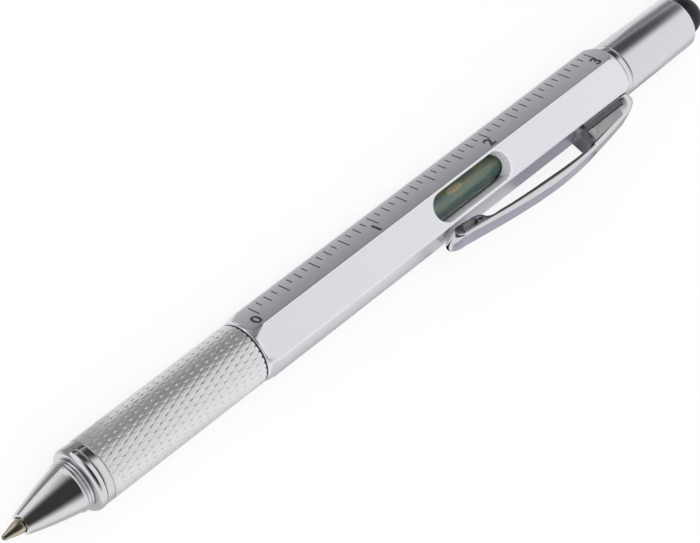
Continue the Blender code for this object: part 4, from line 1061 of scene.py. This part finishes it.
def flat_outline(name, splines):
    """The points of a closed outline from runs of knots, each run curved or straight."""
    curve = bpy.data.curves.new(name, "CURVE")
    curve.dimensions = "2D"
    curve.fill_mode = "NONE"
    curve.resolution_u = CURVE_STEPS
    spline = curve.splines.new("BEZIER")
    points = [(point, curved) for run, curved in splines for point in run]
    spline.bezier_points.add(len(points) - 1)
    for knot, (point, curved) in zip(spline.bezier_points, points):
        knot.co = (*point, 0)
        knot.handle_left_type = knot.handle_right_type = "AUTO" if curved else "VECTOR"
    spline.use_cyclic_u = True
    outline = []
    for vertex in mesh_of_curve(curve).vertices:
        point = Vector(vertex.co.xy)
        if not outline or (point - outline[-1]).length > WELD_DISTANCE / MM:
            outline.append(point)
    return outline


def inward_normals(outline):
    """For each point of a closed outline, the direction into it."""
    area = sum(a.cross(b) for a, b in zip(outline, outline[1:] + outline[:1]))
    side = 1 if area > 0 else -1
    normals = []
    for i, point in enumerate(outline):
        chord = (outline[(i + 1) % len(outline)] - outline[i - 1]).normalized()
        normals.append(Vector((-chord.y, chord.x)) * side)
    return normals


def layered(name, layers, material):
    """A solid across the pen between outlines with the same number of points, each at its place across."""
    work = bmesh.new()
    rings = [[work.verts.new(clip_place(x, y, across)) for x, y in points] for across, points in layers]
    for lower, upper in zip(rings, rings[1:]):
        for i in range(len(lower)):
            j = (i + 1) % len(lower)
            work.faces.new((lower[i], lower[j], upper[j], upper[i]))
    ends = [work.faces.new(rings[0]), work.faces.new(rings[-1])]
    work.normal_update()
    bmesh.ops.triangulate(work, faces=ends)
    bmesh.ops.remove_doubles(work, verts=work.verts, dist=WELD_DISTANCE)
    return finished(name, work, material)


def channelled(points, ceiling):
    """An outline of the arm with the foot's underside raised to the ceiling of its channel."""
    raised = []
    for x, y in points:
        inside = CLIP_CHANNEL_FRONT < x < CLIP_CHANNEL_REAR
        raised.append((x, max(y, height_at(x, ceiling)) if inside else y))
    return raised


def height_at(x, run):
    """The height of a run of (x, height) points at a place along it."""
    for (x0, y0), (x1, y1) in zip(run, run[1:]):
        if x <= x1:
            break
    return y0 + (y1 - y0) * (x - x0) / (x1 - x0)


def arm_layer(outline, inward, across):
    """The arm's outline at a place across: rounded towards its edges, and shorter at both ends."""
    half = CLIP_WIDTH / 2
    drop = 1 - math.sqrt(1 - min(abs(across) / half, 1) ** 2)
    points = []
    for point, normal in zip(outline, inward):
        outer_share = min(max(CLIP_ROUND_START - normal.y, 0), 1)
        size = CLIP_INNER_ROUND + outer_share * (height_at(point.x, CLIP_OUTER_ROUNDS) - CLIP_INNER_ROUND)
        beyond = max(abs(across) - half + size, 0) / size
        x, y = point + normal * size * (1 - math.sqrt(max(1 - beyond**2, 0)))
        from_tip = (x - CLIP_TIP) / CLIP_ROUND_FADE
        from_rear = (CLIP_TIP + CLIP_LENGTH - x) / CLIP_ROUND_FADE
        x += CLIP_TIP_ROUND * drop * max(1 - from_tip, 0) ** 2
        x -= CLIP_REAR_ROUND * drop * max(1 - from_rear, 0) ** 2
        points.append((x, y))
    return points


def clip_layers(outline):
    """The arm's outlines across its width, closer together towards its edges. At each wall of the foot's
    channel there are two, one with the channel and one without."""
    inward = inward_normals(outline)
    ceiling = [(x, y - CLIP_SKIN) for x, y in clip_points(CLIP_OUTER_SHARES[CLIP_CEILING_KNOT:])]
    half = CLIP_WIDTH / 2
    wall = CLIP_CHANNEL_HALF_WIDTH
    turns = [math.pi * (i / CLIP_LAYERS - 0.5) for i in range(CLIP_LAYERS + 1)]
    places = [(half * math.sin(turn), abs(half * math.sin(turn)) < wall) for turn in turns]
    places += [(side * wall, hollow) for side in (1, -1) for hollow in (True, False)]
    layers = []
    for place, hollow in sorted(places, key=lambda item: (item[0], item[1] == (item[0] > 0))):
        points = arm_layer(outline, inward, place)
        layers.append((place, channelled(points, ceiling) if hollow else points))
    return layers


def cut_nub(arm, material):
    """Cuts the pocket and the slot of the clip's nub in both of its sides."""
    half = CLIP_WIDTH / 2
    for side in (1, -1):
        face = side * (half + NUB_TOOL_OUTSIDE)
        floor = side * (half - NUB_POCKET_DEPTH)
        pocket = [(face, clip_points(NUB_POCKET_SHARES)), (floor, clip_points(NUB_FLOOR_SHARES))]
        cut(arm, layered("pocket_tool", pocket, material))
        floor = side * (half - NUB_SLOT_DEPTH)
        slot = [(place, clip_points(NUB_SLOT_SHARES)) for place in (face, floor)]
        cut(arm, layered("slot_tool", slot, material))


def make_clip(material):
    """The bowed arm, from its nub over its opening to its hollow foot."""
    splines = [
        (clip_points(CLIP_OUTER_SHARES), True),
        (clip_points(CLIP_FOOT_SHARES), False),
        (clip_points(CLIP_INNER_SHARES), True),
        (clip_points(CLIP_NUB_SHARES), True),
    ]
    arm = layered("bowed_clip", clip_layers(flat_outline("clip_outline", splines)), material)
    crown_foot(arm)
    cut_nub(arm, material)
    return evenly_shaded(arm)


# Stage


def make_camera():
    """The camera of the photograph."""
    camera = placed("camera", bpy.data.cameras.new("camera"))
    turn = Matrix((CAMERA_RIGHT, CAMERA_UP, CAMERA_BACK)).transposed().to_4x4()
    camera.matrix_world = Matrix.Translation(metres(*CAMERA_PLACE)) @ turn
    camera.data.sensor_fit = "HORIZONTAL"
    camera.data.sensor_width = SENSOR_WIDTH
    camera.data.lens = CAMERA_LENS
    camera.data.clip_start = CAMERA_NEAREST
    camera.data.clip_end = CAMERA_FARTHEST
    bpy.context.scene.camera = camera


def seen_ray(tree):
    """1 for the rays of the camera, of gloss and of glass, and 0 for those that light a surface."""
    rays = add(tree, "ShaderNodeLightPath").outputs
    shown = {0: rays["Is Camera Ray"], 1: rays["Is Glossy Ray"]}
    first = add(tree, "ShaderNodeMath", shown, operation="ADD")
    both = {0: first.outputs[0], 1: rays["Is Transmission Ray"]}
    return add(tree, "ShaderNodeMath", both, operation="ADD", use_clamp=True).outputs[0]


def soft_flag(tree, direction, flag):
    """The level of rays by a black flag of the studio: 1 away from it, and its own inside its ramps."""
    level, ramps = flag
    inside = None
    for towards, start, full in ramps:
        aim = {0: direction, 1: Vector(towards).normalized()}
        cosine = add(tree, "ShaderNodeVectorMath", aim, operation="DOT_PRODUCT").outputs["Value"]
        edge = {"Value": cosine, "From Min": start, "From Max": full}
        ramp = add(tree, "ShaderNodeMapRange", edge, interpolation_type="SMOOTHSTEP").outputs["Result"]
        if inside:
            ramp = add(tree, "ShaderNodeMath", {0: inside, 1: ramp}, operation="MULTIPLY").outputs[0]
        inside = ramp
    return add(tree, "ShaderNodeMapRange", {"Value": inside, "To Min": 1.0, "To Max": level}).outputs[0]


def flagged_white(tree):
    """What gloss sees of the studio: white with black flags, which show as dark streaks in the metal."""
    direction = add(tree, "ShaderNodeTexCoord").outputs["Generated"]
    seen = None
    for flag in FLAGS:
        level = soft_flag(tree, direction, flag)
        if seen:
            level = add(tree, "ShaderNodeMath", {0: seen, 1: level}, operation="MULTIPLY").outputs[0]
        seen = level
    return seen


def make_world():
    """A white studio. It lights the pen at a plain level, and only gloss sees its flags."""
    world = bpy.data.worlds.new("studio")
    world.use_nodes = True
    tree = world.node_tree
    tree.nodes.clear()
    rays = add(tree, "ShaderNodeLightPath").outputs
    unlit, lit = MIX_NUMBERS
    gloss = {0: rays["Is Glossy Ray"], unlit: WORLD_LEVEL, lit: flagged_white(tree)}
    shown = add(tree, "ShaderNodeMix", gloss, data_type="FLOAT").outputs[0]
    straight = {0: rays["Is Camera Ray"], 1: rays["Is Transmission Ray"]}
    clear = add(tree, "ShaderNodeMath", straight, operation="MAXIMUM").outputs[0]
    level = add(tree, "ShaderNodeMix", {0: clear, unlit: shown, lit: 1.0}, data_type="FLOAT").outputs[0]
    background = add(tree, "ShaderNodeBackground", {"Color": linear(WHITE), "Strength": level})
    add(tree, "ShaderNodeOutputWorld", {"Surface": background.outputs[0]})
    bpy.context.scene.world = world


def glowing_card(name, colour, near, far):
    """A card's own light, whose level changes with the distance in Y."""
    material = bpy.data.materials.new(name)
    material.use_nodes = True
    tree = material.node_tree
    tree.nodes.clear()
    place = add(tree, "ShaderNodeTexCoord").outputs["Object"]
    across = add(tree, "ShaderNodeSeparateXYZ", {0: place}).outputs["Y"]
    away = add(tree, "ShaderNodeMath", {0: across}, operation="ABSOLUTE").outputs[0]
    (start, first), (end, last) = near, far
    reach = {"Value": away, "From Min": start * MM, "From Max": end * MM, "To Min": first, "To Max": last}
    level = add(tree, "ShaderNodeMapRange", reach, interpolation_type="SMOOTHSTEP").outputs["Result"]
    glow = add(tree, "ShaderNodeEmission", {"Color": linear(colour), "Strength": level})
    add(tree, "ShaderNodeOutputMaterial", {"Surface": glow.outputs[0]})
    return material


def floor_card(name, colour, corners, near, far, lift):
    """A card laid on the floor, seen only by gloss, and lifted by a share of the floor's depth."""
    mesh = bpy.data.meshes.new(name)
    z = -FLOOR_DROP * (1 - lift)
    mesh.from_pydata([metres(x, y, z) for x, y in corners], [], [range(len(corners))])
    mesh.materials.append(glowing_card(name, colour, near, far))
    obj = placed(name, mesh)
    obj.visible_camera = False
    obj.visible_diffuse = False
    obj.visible_shadow = False
    obj.visible_transmission = False


def make_floor():
    """White paper, which keeps the pen's shadow and glows for the rays that see it."""
    half = FLOOR_SIZE / 2
    z = -FLOOR_DROP * MM
    corners = [(-half, -half, z), (half, -half, z), (half, half, z), (-half, half, z)]
    mesh = bpy.data.meshes.new("floor")
    mesh.from_pydata(corners, [], [range(len(corners))])
    glow = {"Specular_IOR_Level": 0.0, "Emission_Color": linear(WHITE)}
    material = surface("white_paper", FLOOR_COLOUR, FLOOR_ROUGHNESS, **glow)
    tree = material.node_tree
    level = add(tree, "ShaderNodeMath", {0: seen_ray(tree), 1: FLOOR_GLOW}, operation="MULTIPLY")
    tree.links.new(level.outputs[0], tree.nodes["Principled BSDF"].inputs["Emission Strength"])
    mesh.materials.append(material)
    floor = placed("floor", mesh)


def make_lamp():
    """A large soft lamp overhead, which gloss and glass don't see."""
    lamp = bpy.data.lights.new("overhead_softbox", "AREA")
    lamp.shape = "RECTANGLE"
    lamp.size, lamp.size_y = LAMP_SIZE
    lamp.energy = LAMP_POWER
    softbox = placed(lamp.name, lamp)
    place = Vector(LAMP_PLACE)
    turn = (-place).to_track_quat("-Z", "Y").to_matrix().to_4x4()
    softbox.matrix_world = Matrix.Translation(place) @ turn
    softbox.visible_glossy = False
    softbox.visible_transmission = False


make_camera()
make_world()
make_floor()
for order, (name, card) in enumerate(FLOOR_CARDS.items()):
    floor_card(name, *card, (order + 1) / (len(FLOOR_CARDS) + 1))
make_lamp()

satin = satin_anodised_aluminium()
turned = turned_anodised_aluminium()
chrome = chromed_brass()
spring = polished_spring_steel()
steel = ground_steel()
brass = turned_brass()
acrylic = clear_acrylic()
mark = etched_mark()
black_nylon = moulded_plastic("black_brown_nylon", ("#2A211F", "#352A27"), 0.4)
white_acetal = moulded_plastic("white_acetal", ("#DEDEDA", "#E6E6E3"), 0.35, 1.48)

# The level window's walls take the near-white material, whose brightness is painted light.
barrel = also(skin_of("barrel", "hexagonal_barrel", satin), milled_aluminium_painted_bright(), in_window)
dressed(barrel, "barrel", "barrel")
dressed(make_ticks(mark), "barrel")
for text, place in DIGIT_PLACES:
    dressed(make_digit(text, place, mark), "barrel")
grip = also(make_grip(knurled_anodised_aluminium()), bright_turned_aluminium(), on_grip_band)
dressed(grip, "grip", "grip_sleeve")
dressed(make_nose(chrome), "grip", "nose_cone")
dressed(make_nib(brass), "refill", "refill_nib")
dressed(make_ball(tungsten_carbide()), "refill", "writing_ball")
washer = revolved("slip_ring", rounded(WASHER_OUTLINE, WASHER_EDGE), black_nylon)
dressed(washer, "barrel", "slip_washer")
dressed(make_holder(chrome), "barrel", "bit_holder")
dressed(skin_of("screwdriver_bit", "driver_bit", steel), "barrel", "screwdriver_bit")
cap = revolved("turned_cap", rounded(CAP_OUTLINE, CAP_EDGE), turned)
dressed(cap, "cap", "cap_shell")
dressed(make_stylus(silicone_rubber()), "cap", "stylus_tip")
vial = revolved("acrylic_vial", rounded(VIAL_OUTLINE, VIAL_EDGE, closed=False), acrylic)
dressed(vial, "barrel", "level_vial")
dressed(make_liquid(level_spirit()), "barrel", "level_liquid")
dressed(make_bubble(trapped_air()), "bubble", "level_bubble")
# The floors of the nub's recesses take the darker steel, which is painted shade.
clip = also(make_clip(spring), recess_steel_painted_shade(), in_nub_recess)
dressed(clip, "clip", "clip_arm")
# The clip's post is painted darker, for the shade under the clip's foot.
dressed(skin_of("clip_post", "clip_stud", zinc_with_painted_shade()), "barrel", "clip_post")

CARRIED = {
    "vial_plug": white_acetal,
    "cam_tube": steel,
    "drive_tube": brass,
    "retaining_ring": spring,
    "refill_carrier": white_acetal,
    "refill_tube": ground_steel("drawn_steel_tube"),
    "ink_column": moulded_plastic("blue_gel_ink", ("#141A52", "#1B2468"), 0.15, 1.4),
    "ink_follower": moulded_plastic("silicone_grease", ("#D8D0B0", "#E2DCC2"), 0.3, 1.4),
    "stylus_retainer": white_acetal,
}
for node, material in CARRIED.items():
    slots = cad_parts[node].data.materials
    slots.clear()
    slots.append(material)

bpy.context.scene.view_settings.view_transform = "Standard"
